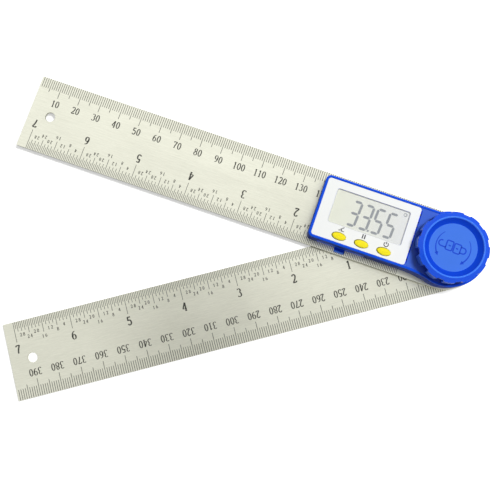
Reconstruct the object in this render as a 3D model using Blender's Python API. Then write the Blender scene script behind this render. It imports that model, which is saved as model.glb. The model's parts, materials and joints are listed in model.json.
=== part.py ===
"""Digital angle finder with arms: two steel rules on one pivot, a display housing and a lock knob.

Metres, +Z up. The pivot axis is the Z axis and the tool lies on the plane z = 0.
The upper rule and its housing run along -X. The lower rule is swung open under them.
"""
import math

import bmesh
import bpy
from mathutils import Matrix, Vector

# Fits shared by every piece
SEAT_GAP = 0.0002
RUNNING_GAP = 0.00025
THIN_GAP = 0.0001
OVERRUN = 0.0010

# How far the rules stand open
OPENING_ANGLE = math.radians(33.55)

# Steel rules
RULE_REACH = 0.2000
RULE_OVERHANG = 0.0027
RULE_THICKNESS = 0.0012
RULE_GAP = 0.0010
RULE_CORNER = 0.0004
HANG_HOLE_RADIUS = 0.0022
HANG_HOLE_MARGIN = 0.0100

# Moulded housing
ROUND_END_BULGE = 0.00215
FLARE_RADIUS = 0.0450
HOUSING_CORNER = 0.0024
HOUSING_EDGE = 0.0005
WALL = 0.0014
CEILING = 0.0011
RIM_WIDTH = 0.0011
POCKET_DEPTH = 0.0006

# Screw bosses inside the housing
OUTER_BOSS_RADIUS = 0.0016
INNER_BOSS_RADIUS = 0.0018
BOARD_BOSS_RADIUS = 0.0014
BOSS_SINK = 0.0003
INNER_BOSS_CLEARANCE = 0.0030

# Front label with its window and three keys
LABEL_KNOB_GAP = 0.00115
LABEL_THICKNESS = 0.00025
LABEL_CORNER = 0.0012
LABEL_GAP = 0.00015
WINDOW_LENGTH = 0.03385
WINDOW_WIDTH = 0.01575
WINDOW_CORNER = 0.0010
WINDOW_LEFT_MARGIN = 0.00513
WINDOW_RIGHT_MARGIN = 0.0040
WINDOW_TOP_MARGIN = 0.0034
WINDOW_KEY_DISTANCE = 0.00477
KEY_PITCH = 0.0103
KEY_ROW_OFFSET = 0.00045
KEY_LENGTH = 0.0062
KEY_WIDTH = 0.0032
KEY_EDGE_MARGIN = 0.00278
KEY_RISE = 0.00075
KEY_TRAVEL = 0.0003
KEY_FLANGE = 0.0004
KEY_FLANGE_THICKNESS = 0.0003
KEY_SHOULDER = 0.0004
KEY_CROWN_SHARES = ((0.0, 1.0), (0.3, 0.4), (1.0, 0.1))

# Display stack under the window
LENS_THICKNESS = 0.0003
DISPLAY_STANDOFF = 0.0007
DISPLAY_BACK_BORDER = 0.0009
DISPLAY_BACK_THICKNESS = 0.0005
FRAME_WALL = 0.0007
FRAME_RISE = 0.0004
CONTACT_STRIP_WIDTH = 0.0016

# Circuit board and what it carries
BOARD_THICKNESS = 0.0006
BOARD_MARGIN = 0.0004
BOARD_HOLE_RADIUS = 0.0066
SWITCH_SIZE = 0.0034
SWITCH_HEIGHT = 0.0002
SWITCH_PLUNGER_RADIUS = 0.0008
CHIP_RADIUS = 0.0035
CHIP_HEIGHT = 0.0009
CHIP_STEPS = 5

# Coin cell, its tray and its two spring contacts
CELL_RADIUS = 0.0100
CELL_THICKNESS = 0.0032
CELL_STEP = 0.0003
CELL_EDGE = 0.0008
TRAY_FLOOR = 0.0005
TRAY_RAIL = 0.0007
TRAY_FRONT = 0.0011
TRAY_SIDE_GAP = 0.0009
TRAY_REAR_STEP = 0.0008
TRAY_TAB_LENGTH = 0.0048
TRAY_TAB_REACH = 0.0020
TRAY_TAB_HEIGHT = 0.0013
PUSH_HOLE_RADIUS = 0.0035
CONTACT_SPACE = 0.0007
CONTACT_THICKNESS = 0.0002
CONTACT_WIDTH = 0.0040
CONTACT_PAD = 0.0016
CONTACT_RAMP = 0.0016
CONTACT_TIP = 0.0015

# Pivot
HUB_FLANGE_RADIUS = 0.0086
HUB_RADIUS = 0.0060
ROTOR_SEAT_RADIUS = 0.0040
ROTOR_KEY_FLAT = 0.0033
STUD_RADIUS = 0.0025
STUD_CHAMFER = 0.0005
SPACER_SETBACK = 0.0009
SPACER_THICKNESS = 0.0007
BUSH_WALL = 0.0012
BUSH_FLANGE = 0.0014
BUSH_FLANGE_THICKNESS = 0.0005
HUB_SCREW_CIRCLE = 0.0043
ROTOR_CLEARANCE = 0.0020
ROTOR_THICKNESS = 0.0008
SENSOR_GAP = 0.0004
CLIP_WIDTH = 0.0014
CLIP_THICKNESS = 0.0004
CLIP_GROOVE_DEPTH = 0.0005
CLIP_OPENING = math.radians(70)

# Screws
SCREW_RADIUS = 0.0007
SCREW_HEAD_RADIUS = 0.0015
SCREW_HEAD_HEIGHT = 0.0007
SCREW_RECESS_RADIUS = 0.0007
SCREW_RECESS_DEPTH = 0.0004
HOUSING_SCREW_LENGTH = 0.0055
HUB_SCREW_LENGTH = 0.0042
BOARD_SCREW_RADIUS = 0.0005
BOARD_SCREW_HEAD_RADIUS = 0.0011
BOARD_SCREW_HEAD_HEIGHT = 0.0006
BOARD_SCREW_LENGTH = 0.0014

# Lock knob
KNOB_SETBACK = 0.00125
LUG_RISE = 0.0005
LUG_DEPTH = 0.0024
KNOB_LIP_WIDTH = 0.00195
KNOB_LIP_ROUNDING = 0.0003
KNOB_HEIGHT = 0.0066
KNOB_CORE_HEIGHT = 0.0005
KNOB_SHOULDER_DROP = 0.0008
KNOB_CAP_THICKNESS = 0.0008
KNOB_WALL = 0.0013
DISH_SLOPE_WIDTH = 0.0026
DISH_DEPTH = 0.00185
DISH_FLOOR = 0.0012
LUG_COUNT = 12
LUG_ANGLE = math.radians(18.5)
FIRST_LUG_ANGLE = math.radians(10)
KNOB_BOSS_WALL = 0.0012
KNOB_RIB_COUNT = 6
KNOB_RIB_THICKNESS = 0.0009
KNOB_RIB_SETBACK = 0.0004
INSERT_WALL = 0.0011
WASHER_SETBACK = 0.0005
WASHER_BORE = 0.0070
WASHER_THICKNESS = 0.0005
STUD_HOLE_GAP = 0.0007

# Smoothness of round forms
FINE_STEPS = 80
ROUND_STEPS = 40
SMALL_STEPS = 24
TINY_STEPS = 10
SMOOTH_ANGLE = math.radians(32)

# Heights, stacked from the underside of the lower rule upwards
LOWER_TOP = RULE_THICKNESS
UPPER_UNDERSIDE = LOWER_TOP + RULE_GAP
UPPER_TOP = UPPER_UNDERSIDE + RULE_THICKNESS
HOUSING_FOOT = UPPER_TOP + SEAT_GAP
TRAY_FOOT = HOUSING_FOOT
CELL_FOOT = TRAY_FOOT + TRAY_FLOOR + THIN_GAP
CELL_TOP = CELL_FOOT + CELL_THICKNESS
TRAY_TOP = CELL_TOP
BOARD_FOOT = CELL_TOP + CONTACT_SPACE
BOARD_TOP = BOARD_FOOT + BOARD_THICKNESS
DISPLAY_BACK_FOOT = BOARD_TOP + DISPLAY_STANDOFF
DISPLAY_BACK_TOP = DISPLAY_BACK_FOOT + DISPLAY_BACK_THICKNESS
CAVITY_TOP = DISPLAY_BACK_TOP + SEAT_GAP
POCKET_FLOOR = CAVITY_TOP + CEILING
HOUSING_TOP = POCKET_FLOOR + POCKET_DEPTH
LABEL_FOOT = POCKET_FLOOR + THIN_GAP
LABEL_TOP = LABEL_FOOT + LABEL_THICKNESS
LENS_FOOT = POCKET_FLOOR - LENS_THICKNESS
ROTOR_TOP = BOARD_FOOT - SENSOR_GAP
ROTOR_FOOT = ROTOR_TOP - ROTOR_THICKNESS
HUB_SHOULDER = ROTOR_FOOT - THIN_GAP
CLIP_FOOT = ROTOR_TOP + THIN_GAP
CLIP_TOP = CLIP_FOOT + CLIP_THICKNESS
WASHER_FOOT = POCKET_FLOOR + SEAT_GAP
WASHER_TOP = WASHER_FOOT + WASHER_THICKNESS
KNOB_FOOT = WASHER_TOP + SEAT_GAP
KNOB_TOP = KNOB_FOOT + KNOB_HEIGHT
DISH_TOP = KNOB_TOP - DISH_DEPTH
DISH_UNDERSIDE = DISH_TOP - DISH_FLOOR
INSERT_FOOT = KNOB_FOOT + SEAT_GAP
INSERT_TOP = DISH_UNDERSIDE - SEAT_GAP
STUD_TOP = INSERT_TOP - SEAT_GAP

# Sizes in plan, worked out from the window and its keys outwards
LABEL_LENGTH = WINDOW_LEFT_MARGIN + WINDOW_LENGTH + WINDOW_RIGHT_MARGIN
LABEL_WIDTH = WINDOW_TOP_MARGIN + WINDOW_WIDTH + WINDOW_KEY_DISTANCE + KEY_EDGE_MARGIN
HALF_HOUSING = LABEL_WIDTH / 2 + LABEL_GAP + RIM_WIDTH
HALF_RULE = HALF_HOUSING + RULE_OVERHANG
SPACER_RADIUS = HALF_RULE - SPACER_SETBACK
ROUND_END_RADIUS = HALF_HOUSING + ROUND_END_BULGE
ROTOR_RADIUS = ROUND_END_RADIUS - WALL - ROTOR_CLEARANCE
INNER_BOSS_DISTANCE = ROTOR_RADIUS + INNER_BOSS_CLEARANCE
KNOB_RADIUS = ROUND_END_RADIUS - KNOB_SETBACK
KNOB_CAP_RADIUS = KNOB_RADIUS - LUG_RISE
KNOB_CORE_RADIUS = KNOB_RADIUS - LUG_DEPTH
KNOB_LIP_RADIUS = KNOB_CAP_RADIUS - KNOB_LIP_WIDTH
DISH_RADIUS = KNOB_LIP_RADIUS - DISH_SLOPE_WIDTH
WASHER_RADIUS = KNOB_CORE_RADIUS - WASHER_SETBACK
HOUSING_REACH = KNOB_RADIUS + LABEL_KNOB_GAP + LABEL_LENGTH + LABEL_GAP + RIM_WIDTH

# Places in plan
CAVITY_REACH = HOUSING_REACH - WALL
HALF_CAVITY = HALF_HOUSING - WALL
LABEL_LEFT = -(KNOB_RADIUS + LABEL_KNOB_GAP + LABEL_LENGTH)
LABEL_CENTRE = Vector((LABEL_LEFT + LABEL_LENGTH / 2, 0))
WINDOW_CENTRE = Vector((
    LABEL_LEFT + WINDOW_LEFT_MARGIN + WINDOW_LENGTH / 2,
    LABEL_WIDTH / 2 - WINDOW_TOP_MARGIN - WINDOW_WIDTH / 2,
))
KEY_ROW = -LABEL_WIDTH / 2 + KEY_EDGE_MARGIN
KEY_NAMES = ("left", "middle", "right")
KEY_ROW_CENTRE = WINDOW_CENTRE.x + KEY_ROW_OFFSET
KEY_CENTRES = [Vector((KEY_ROW_CENTRE + step * KEY_PITCH, KEY_ROW)) for step in (-1, 0, 1)]
KEY_FLANGE_TOP = CAVITY_TOP - SEAT_GAP
KEY_FLANGE_FOOT = KEY_FLANGE_TOP - KEY_FLANGE_THICKNESS
OUTER_BOSS_X = -CAVITY_REACH - BOSS_SINK + OUTER_BOSS_RADIUS
OUTER_BOSS_Y = HALF_CAVITY + BOSS_SINK - OUTER_BOSS_RADIUS
INNER_BOSS_Y = HALF_CAVITY + BOSS_SINK - INNER_BOSS_RADIUS
HOUSING_BOSSES = [
    (OUTER_BOSS_X, OUTER_BOSS_Y, OUTER_BOSS_RADIUS),
    (OUTER_BOSS_X, -OUTER_BOSS_Y, OUTER_BOSS_RADIUS),
    (-INNER_BOSS_DISTANCE, INNER_BOSS_Y, INNER_BOSS_RADIUS),
    (-INNER_BOSS_DISTANCE, -INNER_BOSS_Y, INNER_BOSS_RADIUS),
]
BOARD_BOSSES = [
    (-CAVITY_REACH - BOSS_SINK + BOARD_BOSS_RADIUS, 0),
    (-INNER_BOSS_DISTANCE, INNER_BOSS_Y / 2),
    (-INNER_BOSS_DISTANCE, -INNER_BOSS_Y / 2),
]
TRAY_HALF = CELL_RADIUS + SEAT_GAP + TRAY_RAIL
TRAY_CENTRE_X = OUTER_BOSS_X + OUTER_BOSS_RADIUS + TRAY_SIDE_GAP + TRAY_HALF
CELL_CENTRE = Vector((TRAY_CENTRE_X, -HALF_HOUSING + TRAY_FRONT + SEAT_GAP + CELL_RADIUS))
TRAY_REAR = CELL_CENTRE.y + CELL_RADIUS - TRAY_REAR_STEP
PAD_START = TRAY_CENTRE_X + TRAY_HALF + CONTACT_RAMP


def clear_scene():
    """Remove every object that a new file starts with."""
    for old in list(bpy.data.objects):
        bpy.data.objects.remove(old, do_unlink=True)


def make_material(name, colour, roughness, metallic=0.0, alpha=1.0):
    """A Principled material with one colour, roughness and metallic value."""
    finish = bpy.data.materials.new(name)
    finish.use_nodes = True
    shader = finish.node_tree.nodes["Principled BSDF"]
    shader.inputs["Base Color"].default_value = (*colour, 1.0)
    shader.inputs["Roughness"].default_value = roughness
    shader.inputs["Metallic"].default_value = metallic
    shader.inputs["Alpha"].default_value = alpha
    finish.diffuse_color = (*colour, alpha)
    return finish


def make_axis(name, place=(0, 0, 0), turn=0.0):
    """An empty that stands on a joint's axis and carries the pieces that move about it."""
    axis = bpy.data.objects.new(name, None)
    axis.location = place
    axis.rotation_euler = (0, 0, turn)
    bpy.context.scene.collection.objects.link(axis)
    return axis


def finish_object(name, shape, finish=None, parent=None, origin=(0, 0, 0)):
    """Turn a bmesh into a named object, smooth on its round faces and sharp at its edges."""
    bmesh.ops.recalc_face_normals(shape, faces=shape.faces)
    bmesh.ops.translate(shape, verts=shape.verts, vec=-Vector(origin))
    mesh = bpy.data.meshes.new(name)
    shape.to_mesh(mesh)
    shape.free()
    mesh.shade_smooth()
    mesh.set_sharp_from_angle(angle=SMOOTH_ANGLE)
    piece = bpy.data.objects.new(name, mesh)
    piece.location = origin
    piece.parent = parent
    if finish is not None:
        mesh.materials.append(finish)
    bpy.context.scene.collection.objects.link(piece)
    return piece


def apply_boolean(target, name, shape, operation="DIFFERENCE"):
    """Cut a bmesh out of a piece, or join it on, with a hidden guide object."""
    guide = finish_object(name, shape, parent=target.parent, origin=target.location)
    guide.hide_render = True
    guide.display_type = "WIRE"
    modifier = target.modifiers.new(name, "BOOLEAN")
    modifier.operation = operation
    modifier.solver = "EXACT"
    modifier.object = guide


def arc_points(centre, radius, start, end, steps):
    """Points on an arc in plan, both ends included."""
    return [
        (centre[0] + radius * math.cos(angle), centre[1] + radius * math.sin(angle))
        for angle in (start + (end - start) * step / steps for step in range(steps + 1))
    ]


def rounded_rectangle(centre, length, width, corner, steps=6):
    """Outline of a rectangle whose corners are quarter arcs."""
    outline = []
    quarter = math.pi / 2
    for turn, (side_x, side_y) in enumerate(((1, 1), (-1, 1), (-1, -1), (1, -1))):
        middle = (
            centre[0] + side_x * (length / 2 - corner),
            centre[1] + side_y * (width / 2 - corner),
        )
        outline += arc_points(middle, corner, turn * quarter, (turn + 1) * quarter, steps)
    return outline


def rule_outline():
    """A straight rule whose square end lies at -X and whose round end is centred on the pivot."""
    quarter = math.pi / 2
    outline = arc_points((0, 0), HALF_RULE, -quarter, quarter, FINE_STEPS // 2)
    upper = (-RULE_REACH + RULE_CORNER, HALF_RULE - RULE_CORNER)
    lower = (-RULE_REACH + RULE_CORNER, -HALF_RULE + RULE_CORNER)
    outline += arc_points(upper, RULE_CORNER, quarter, 2 * quarter, 3)
    outline += arc_points(lower, RULE_CORNER, 2 * quarter, 3 * quarter, 3)
    return outline


def housing_outline(inset):
    """The housing in plan, moved inwards by inset.

    The upper side runs straight into the round end. The lower side opens into it
    through a hollow flare, an arc tangent to both.
    """
    quarter = math.pi / 2
    half = HALF_HOUSING - inset
    reach = HOUSING_REACH - inset
    end_radius = ROUND_END_RADIUS - inset
    corner = HOUSING_CORNER - inset
    flare = FLARE_RADIUS + inset
    flare_y = -(half + flare)
    flare_x = -math.sqrt((end_radius + flare) ** 2 - flare_y ** 2)
    towards_pivot = math.atan2(-flare_y, -flare_x)
    outline = arc_points((-reach + corner, half - corner), corner, quarter, 2 * quarter, 6)
    outline += arc_points((-reach + corner, -half + corner), corner, 2 * quarter, 3 * quarter, 6)
    outline += arc_points((flare_x, flare_y), flare, quarter, towards_pivot, 8)
    round_start = towards_pivot - math.pi
    round_end = math.pi - math.asin(half / end_radius)
    outline += arc_points((0, 0), end_radius, round_start, round_end, FINE_STEPS // 2)[1:]
    return outline


def extruded(outline, bottom, top):
    """A solid with upright sides over a closed outline."""
    shape = bmesh.new()
    corners = [shape.verts.new((x, y, bottom)) for x, y in outline]
    face = shape.faces.new(corners)
    grown = bmesh.ops.extrude_face_region(shape, geom=[face])
    raised = [item for item in grown["geom"] if isinstance(item, bmesh.types.BMVert)]
    bmesh.ops.translate(shape, verts=raised, vec=(0, 0, top - bottom))
    bmesh.ops.remove_doubles(shape, verts=shape.verts, dist=THIN_GAP / 100)
    bmesh.ops.recalc_face_normals(shape, faces=shape.faces)
    return shape


def soften_top(shape, top, width, segments=2):
    """Round the edges that border the top face of an upright solid."""
    edges = [
        edge for edge in shape.edges
        if all(abs(vert.co.z - top) < THIN_GAP / 10 for vert in edge.verts)
    ]
    bmesh.ops.bevel(
        shape, geom=edges, offset=width, segments=segments, profile=0.5,
        affect="EDGES", clamp_overlap=True,
    )
    return shape


def turned(profile, steps=ROUND_STEPS, centre=(0, 0), sweep=2 * math.pi, start=0.0):
    """A solid of revolution about an upright axis, from a closed (radius, height) profile."""
    shape = bmesh.new()
    points = [shape.verts.new((radius, 0, height)) for radius, height in profile]
    loop = [shape.edges.new((points[i - 1], points[i])) for i in range(len(points))]
    whole = abs(sweep - 2 * math.pi) < math.radians(1)
    if not whole:
        shape.faces.new(points)
    bmesh.ops.rotate(shape, verts=points, cent=(0, 0, 0), matrix=Matrix.Rotation(start, 3, "Z"))
    geometry = list(shape.faces) or points + loop
    bmesh.ops.spin(
        shape, geom=geometry, cent=(0, 0, 0), axis=(0, 0, 1), angle=sweep, steps=steps,
        use_merge=whole, use_duplicate=False,
    )
    bmesh.ops.remove_doubles(shape, verts=shape.verts, dist=THIN_GAP / 100)
    bmesh.ops.translate(shape, verts=shape.verts, vec=(centre[0], centre[1], 0))
    bmesh.ops.recalc_face_normals(shape, faces=shape.faces)
    return shape


def cylinder(centre, radius, bottom, top, steps=SMALL_STEPS):
    """A plain upright cylinder."""
    outline = arc_points(centre, radius, 0, 2 * math.pi * (steps - 1) / steps, steps - 1)
    return extruded(outline, bottom, top)


def block(low, high):
    """An upright box between two corners."""
    outline = [(low[0], low[1]), (high[0], low[1]), (high[0], high[1]), (low[0], high[1])]
    return extruded(outline, low[2], high[2])


def gathered(shapes):
    """Several separate solids as one bmesh, for one cut."""
    whole = bmesh.new()
    for shape in shapes:
        carrier = bpy.data.meshes.new("carrier")
        shape.to_mesh(carrier)
        shape.free()
        whole.from_mesh(carrier)
        bpy.data.meshes.remove(carrier)
    return whole


def stacked_ellipses(centre, levels, steps=SMALL_STEPS):
    """A solid through elliptic rings, each level a (half length, half width, height)."""
    shape = bmesh.new()
    rings = []
    for half_length, half_width, height in levels:
        ring = []
        for step in range(steps):
            angle = 2 * math.pi * step / steps
            x = centre[0] + half_length * math.cos(angle)
            y = centre[1] + half_width * math.sin(angle)
            ring.append(shape.verts.new((x, y, height)))
        rings.append(ring)
    shape.faces.new(rings[0])
    shape.faces.new(rings[-1])
    for below, above in zip(rings, rings[1:]):
        for step in range(steps):
            shape.faces.new((below[step - 1], below[step], above[step], above[step - 1]))
    bmesh.ops.recalc_face_normals(shape, faces=shape.faces)
    return shape


def folded_strip(path, width, thickness, across):
    """A bent metal strip: a path of (run, height) points, thickened upwards and sideways.

    across maps (run, side, height) to a point, so one strip can run along X or along Y.
    """
    shape = bmesh.new()
    lower = []
    upper = []
    for index, (run, height) in enumerate(path):
        before = Vector(path[max(index - 1, 0)])
        after = Vector(path[min(index + 1, len(path) - 1)])
        along = (after - before).normalized()
        normal = Vector((-along.y, along.x)) * thickness
        lower.append((run, height))
        upper.append((run + normal.x, height + normal.y))
    outline = lower + upper[::-1]
    near = [shape.verts.new(across(run, -width / 2, height)) for run, height in outline]
    far = [shape.verts.new(across(run, width / 2, height)) for run, height in outline]
    shape.faces.new(near)
    shape.faces.new(far)
    for index in range(len(outline)):
        shape.faces.new((near[index - 1], near[index], far[index], far[index - 1]))
    bmesh.ops.recalc_face_normals(shape, faces=shape.faces)
    return shape


def countersink(centre, underside):
    """Cutter for a flush screw head in a rule's underside, with its clearance hole."""
    wide = SCREW_HEAD_RADIUS + SEAT_GAP
    narrow = SCREW_RADIUS + SEAT_GAP
    profile = [
        (0, underside - OVERRUN),
        (wide, underside - OVERRUN),
        (wide, underside + THIN_GAP),
        (narrow, underside + THIN_GAP + SCREW_HEAD_HEIGHT),
        (narrow, underside + RULE_THICKNESS + OVERRUN),
        (0, underside + RULE_THICKNESS + OVERRUN),
    ]
    return turned(profile, SMALL_STEPS, centre)


def flush_screw(name, centre, underside, length, finish, parent=None):
    """Countersunk screw driven upwards, its head flush with a rule's underside."""
    foot = underside + THIN_GAP
    profile = [
        (0, foot + SCREW_RECESS_DEPTH),
        (SCREW_RECESS_RADIUS / 2, foot + SCREW_RECESS_DEPTH),
        (SCREW_RECESS_RADIUS, foot),
        (SCREW_HEAD_RADIUS, foot),
        (SCREW_RADIUS, foot + SCREW_HEAD_HEIGHT),
        (SCREW_RADIUS, foot + length - SCREW_RADIUS / 2),
        (SCREW_RADIUS / 2, foot + length),
        (0, foot + length),
    ]
    return finish_object(name, turned(profile, TINY_STEPS, centre), finish, parent)


def board_screw(name, centre, finish):
    """Pan-head screw that holds the circuit board up against a boss."""
    head_top = BOARD_FOOT - THIN_GAP
    head_foot = head_top - BOARD_SCREW_HEAD_HEIGHT
    profile = [
        (0, head_foot),
        (BOARD_SCREW_HEAD_RADIUS - BOARD_SCREW_HEAD_HEIGHT / 2, head_foot),
        (BOARD_SCREW_HEAD_RADIUS, head_foot + BOARD_SCREW_HEAD_HEIGHT / 2),
        (BOARD_SCREW_HEAD_RADIUS, head_top),
        (BOARD_SCREW_RADIUS, head_top),
        (BOARD_SCREW_RADIUS, head_top + BOARD_SCREW_LENGTH),
        (0, head_top + BOARD_SCREW_LENGTH),
    ]
    return finish_object(name, turned(profile, TINY_STEPS, centre), finish)


def build_rule(name, underside, finish, parent=None):
    """A steel rule with its hanging hole."""
    plate = extruded(rule_outline(), underside, underside + RULE_THICKNESS)
    rule = finish_object(name, plate, finish, parent)
    hole_centre = (-RULE_REACH + HANG_HOLE_MARGIN, 0)
    low = underside - OVERRUN
    high = underside + RULE_THICKNESS + OVERRUN
    hole = cylinder(hole_centre, HANG_HOLE_RADIUS, low, high, SMALL_STEPS)
    apply_boolean(rule, name + "_hanging_hole", hole)
    return rule


def build_upper_rule(steel, screw_steel, bronze):
    """The fixed rule: bored for the bush and countersunk for the housing screws."""
    rule = build_rule("upper_rule", UPPER_UNDERSIDE, steel)
    bush_radius = HUB_RADIUS + RUNNING_GAP + BUSH_WALL
    low = UPPER_UNDERSIDE - OVERRUN
    high = UPPER_TOP + OVERRUN
    cuts = [cylinder((0, 0), bush_radius + SEAT_GAP, low, high, ROUND_STEPS)]
    cuts += [countersink(boss[:2], UPPER_UNDERSIDE) for boss in HOUSING_BOSSES]
    apply_boolean(rule, "upper_rule_holes", gathered(cuts))
    for index, boss in enumerate(HOUSING_BOSSES, 1):
        screw_name = f"housing_screw_{index}"
        flush_screw(screw_name, boss[:2], UPPER_UNDERSIDE, HOUSING_SCREW_LENGTH, screw_steel)
    bore = HUB_RADIUS + RUNNING_GAP
    flange_foot = UPPER_TOP + THIN_GAP
    flange_top = flange_foot + BUSH_FLANGE_THICKNESS
    profile = [
        (bore, UPPER_UNDERSIDE + THIN_GAP),
        (bush_radius, UPPER_UNDERSIDE + THIN_GAP),
        (bush_radius, flange_foot),
        (bush_radius + BUSH_FLANGE, flange_foot),
        (bush_radius + BUSH_FLANGE, flange_top),
        (bore, flange_top),
    ]
    finish_object("pivot_bush", turned(profile), bronze)


def window_outline(growth=0.0):
    """Outline of the display window, grown outwards by growth."""
    return rounded_rectangle(
        WINDOW_CENTRE, WINDOW_LENGTH + 2 * growth, WINDOW_WIDTH + 2 * growth,
        WINDOW_CORNER + growth / 2,
    )


def key_cut(centre, gap, bottom, top):
    """Cutter for the elliptic hole that a key stands in."""
    half_length = KEY_LENGTH / 2 + gap
    half_width = KEY_WIDTH / 2 + gap
    return stacked_ellipses(
        centre, [(half_length, half_width, bottom), (half_length, half_width, top)],
    )


def build_housing(blue):
    """The moulded shell: hollow below, with a rimmed pocket on top and bosses inside."""
    body = extruded(housing_outline(0), HOUSING_FOOT, HOUSING_TOP)
    shell = finish_object("housing_shell", soften_top(body, HOUSING_TOP, HOUSING_EDGE), blue)
    pocket = extruded(housing_outline(RIM_WIDTH), POCKET_FLOOR, HOUSING_TOP + OVERRUN)
    apply_boolean(shell, "housing_pocket", pocket)
    cavity = extruded(housing_outline(WALL), HOUSING_FOOT - OVERRUN, CAVITY_TOP)
    apply_boolean(shell, "housing_cavity", cavity)
    root = CAVITY_TOP + CEILING / 2
    boss_foot = HOUSING_FOOT + THIN_GAP
    bosses = [cylinder((x, y), radius, boss_foot, root) for x, y, radius in HOUSING_BOSSES]
    board_seat = BOARD_TOP + THIN_GAP
    bosses += [cylinder(place, BOARD_BOSS_RADIUS, board_seat, root) for place in BOARD_BOSSES]
    for index, boss in enumerate(bosses, 1):
        apply_boolean(shell, f"housing_boss_{index}", boss, "UNION")
    low = CAVITY_TOP - OVERRUN
    high = POCKET_FLOOR + OVERRUN
    cuts = [extruded(window_outline(), low, high)]
    cuts += [key_cut(centre, RUNNING_GAP, low, high) for centre in KEY_CENTRES]
    cuts.append(cylinder((0, 0), STUD_RADIUS + STUD_HOLE_GAP, low, high, ROUND_STEPS))
    apply_boolean(shell, "housing_openings", gathered(cuts))
    pilot_top = UPPER_UNDERSIDE + THIN_GAP + HOUSING_SCREW_LENGTH + THIN_GAP
    pilots = [
        cylinder((x, y), SCREW_RADIUS + THIN_GAP, HOUSING_FOOT - OVERRUN, pilot_top, TINY_STEPS)
        for x, y, radius in HOUSING_BOSSES
    ]
    board_pilot_top = BOARD_FOOT - THIN_GAP + BOARD_SCREW_LENGTH + THIN_GAP
    board_pilot = BOARD_SCREW_RADIUS + THIN_GAP
    pilots += [
        cylinder(place, board_pilot, board_seat - OVERRUN, board_pilot_top, TINY_STEPS)
        for place in BOARD_BOSSES
    ]
    apply_boolean(shell, "housing_pilots", gathered(pilots))
    slot_low = (TRAY_CENTRE_X - TRAY_HALF - RUNNING_GAP, -HALF_HOUSING - OVERRUN,
                HOUSING_FOOT - OVERRUN)
    slot_high = (TRAY_CENTRE_X + TRAY_HALF + RUNNING_GAP, -HALF_CAVITY + BOSS_SINK,
                 TRAY_TOP + RUNNING_GAP)
    apply_boolean(shell, "housing_tray_slot", block(slot_low, slot_high))


def build_label(white):
    """The white face plate that lies in the pocket, with the window and the key holes."""
    outline = rounded_rectangle(LABEL_CENTRE, LABEL_LENGTH, LABEL_WIDTH, LABEL_CORNER)
    label = finish_object("front_label", extruded(outline, LABEL_FOOT, LABEL_TOP), white)
    low = LABEL_FOOT - OVERRUN
    high = LABEL_TOP + OVERRUN
    cuts = [extruded(window_outline(), low, high)]
    cuts += [key_cut(centre, RUNNING_GAP, low, high) for centre in KEY_CENTRES]
    apply_boolean(label, "label_openings", gathered(cuts))


def build_display(clear, glass, frame_finish, elastomer):
    """Lens, two-plate display glass, the frame round it and the contact strip under it."""
    lens_outline = window_outline(-RUNNING_GAP)
    finish_object("lcd_lens", extruded(lens_outline, LENS_FOOT, POCKET_FLOOR), clear)
    back_length = WINDOW_LENGTH + 2 * DISPLAY_BACK_BORDER
    back_width = WINDOW_WIDTH + 2 * DISPLAY_BACK_BORDER
    back = rounded_rectangle(WINDOW_CENTRE, back_length, back_width, WINDOW_CORNER, 3)
    front_top = LENS_FOOT - THIN_GAP
    front = extruded(window_outline(-RUNNING_GAP), DISPLAY_BACK_TOP - THIN_GAP, front_top)
    plates = extruded(back, DISPLAY_BACK_FOOT, DISPLAY_BACK_TOP)
    display = finish_object("lcd_glass", plates, glass)
    apply_boolean(display, "lcd_front_plate", front, "UNION")
    frame_foot = BOARD_TOP + THIN_GAP
    frame_top = DISPLAY_BACK_FOOT + FRAME_RISE
    grown_length = back_length + 2 * (RUNNING_GAP + FRAME_WALL)
    grown_width = back_width + 2 * (RUNNING_GAP + FRAME_WALL)
    outer = rounded_rectangle(WINDOW_CENTRE, grown_length, grown_width, WINDOW_CORNER, 3)
    frame = finish_object("lcd_frame", extruded(outer, frame_foot, frame_top), frame_finish)
    hole_length = back_length + 2 * RUNNING_GAP
    hole_width = back_width + 2 * RUNNING_GAP
    hole = rounded_rectangle(WINDOW_CENTRE, hole_length, hole_width, WINDOW_CORNER, 3)
    opening = extruded(hole, frame_foot - OVERRUN, frame_top + OVERRUN)
    apply_boolean(frame, "lcd_frame_opening", opening)
    strip_y = WINDOW_CENTRE.y + back_width / 2 - CONTACT_STRIP_WIDTH / 2
    strip = block(
        (WINDOW_CENTRE.x - WINDOW_LENGTH / 2, strip_y - CONTACT_STRIP_WIDTH / 2, frame_foot),
        (WINDOW_CENTRE.x + WINDOW_LENGTH / 2, strip_y + CONTACT_STRIP_WIDTH / 2,
         DISPLAY_BACK_FOOT - THIN_GAP),
    )
    finish_object("contact_strip", strip, elastomer)


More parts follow.
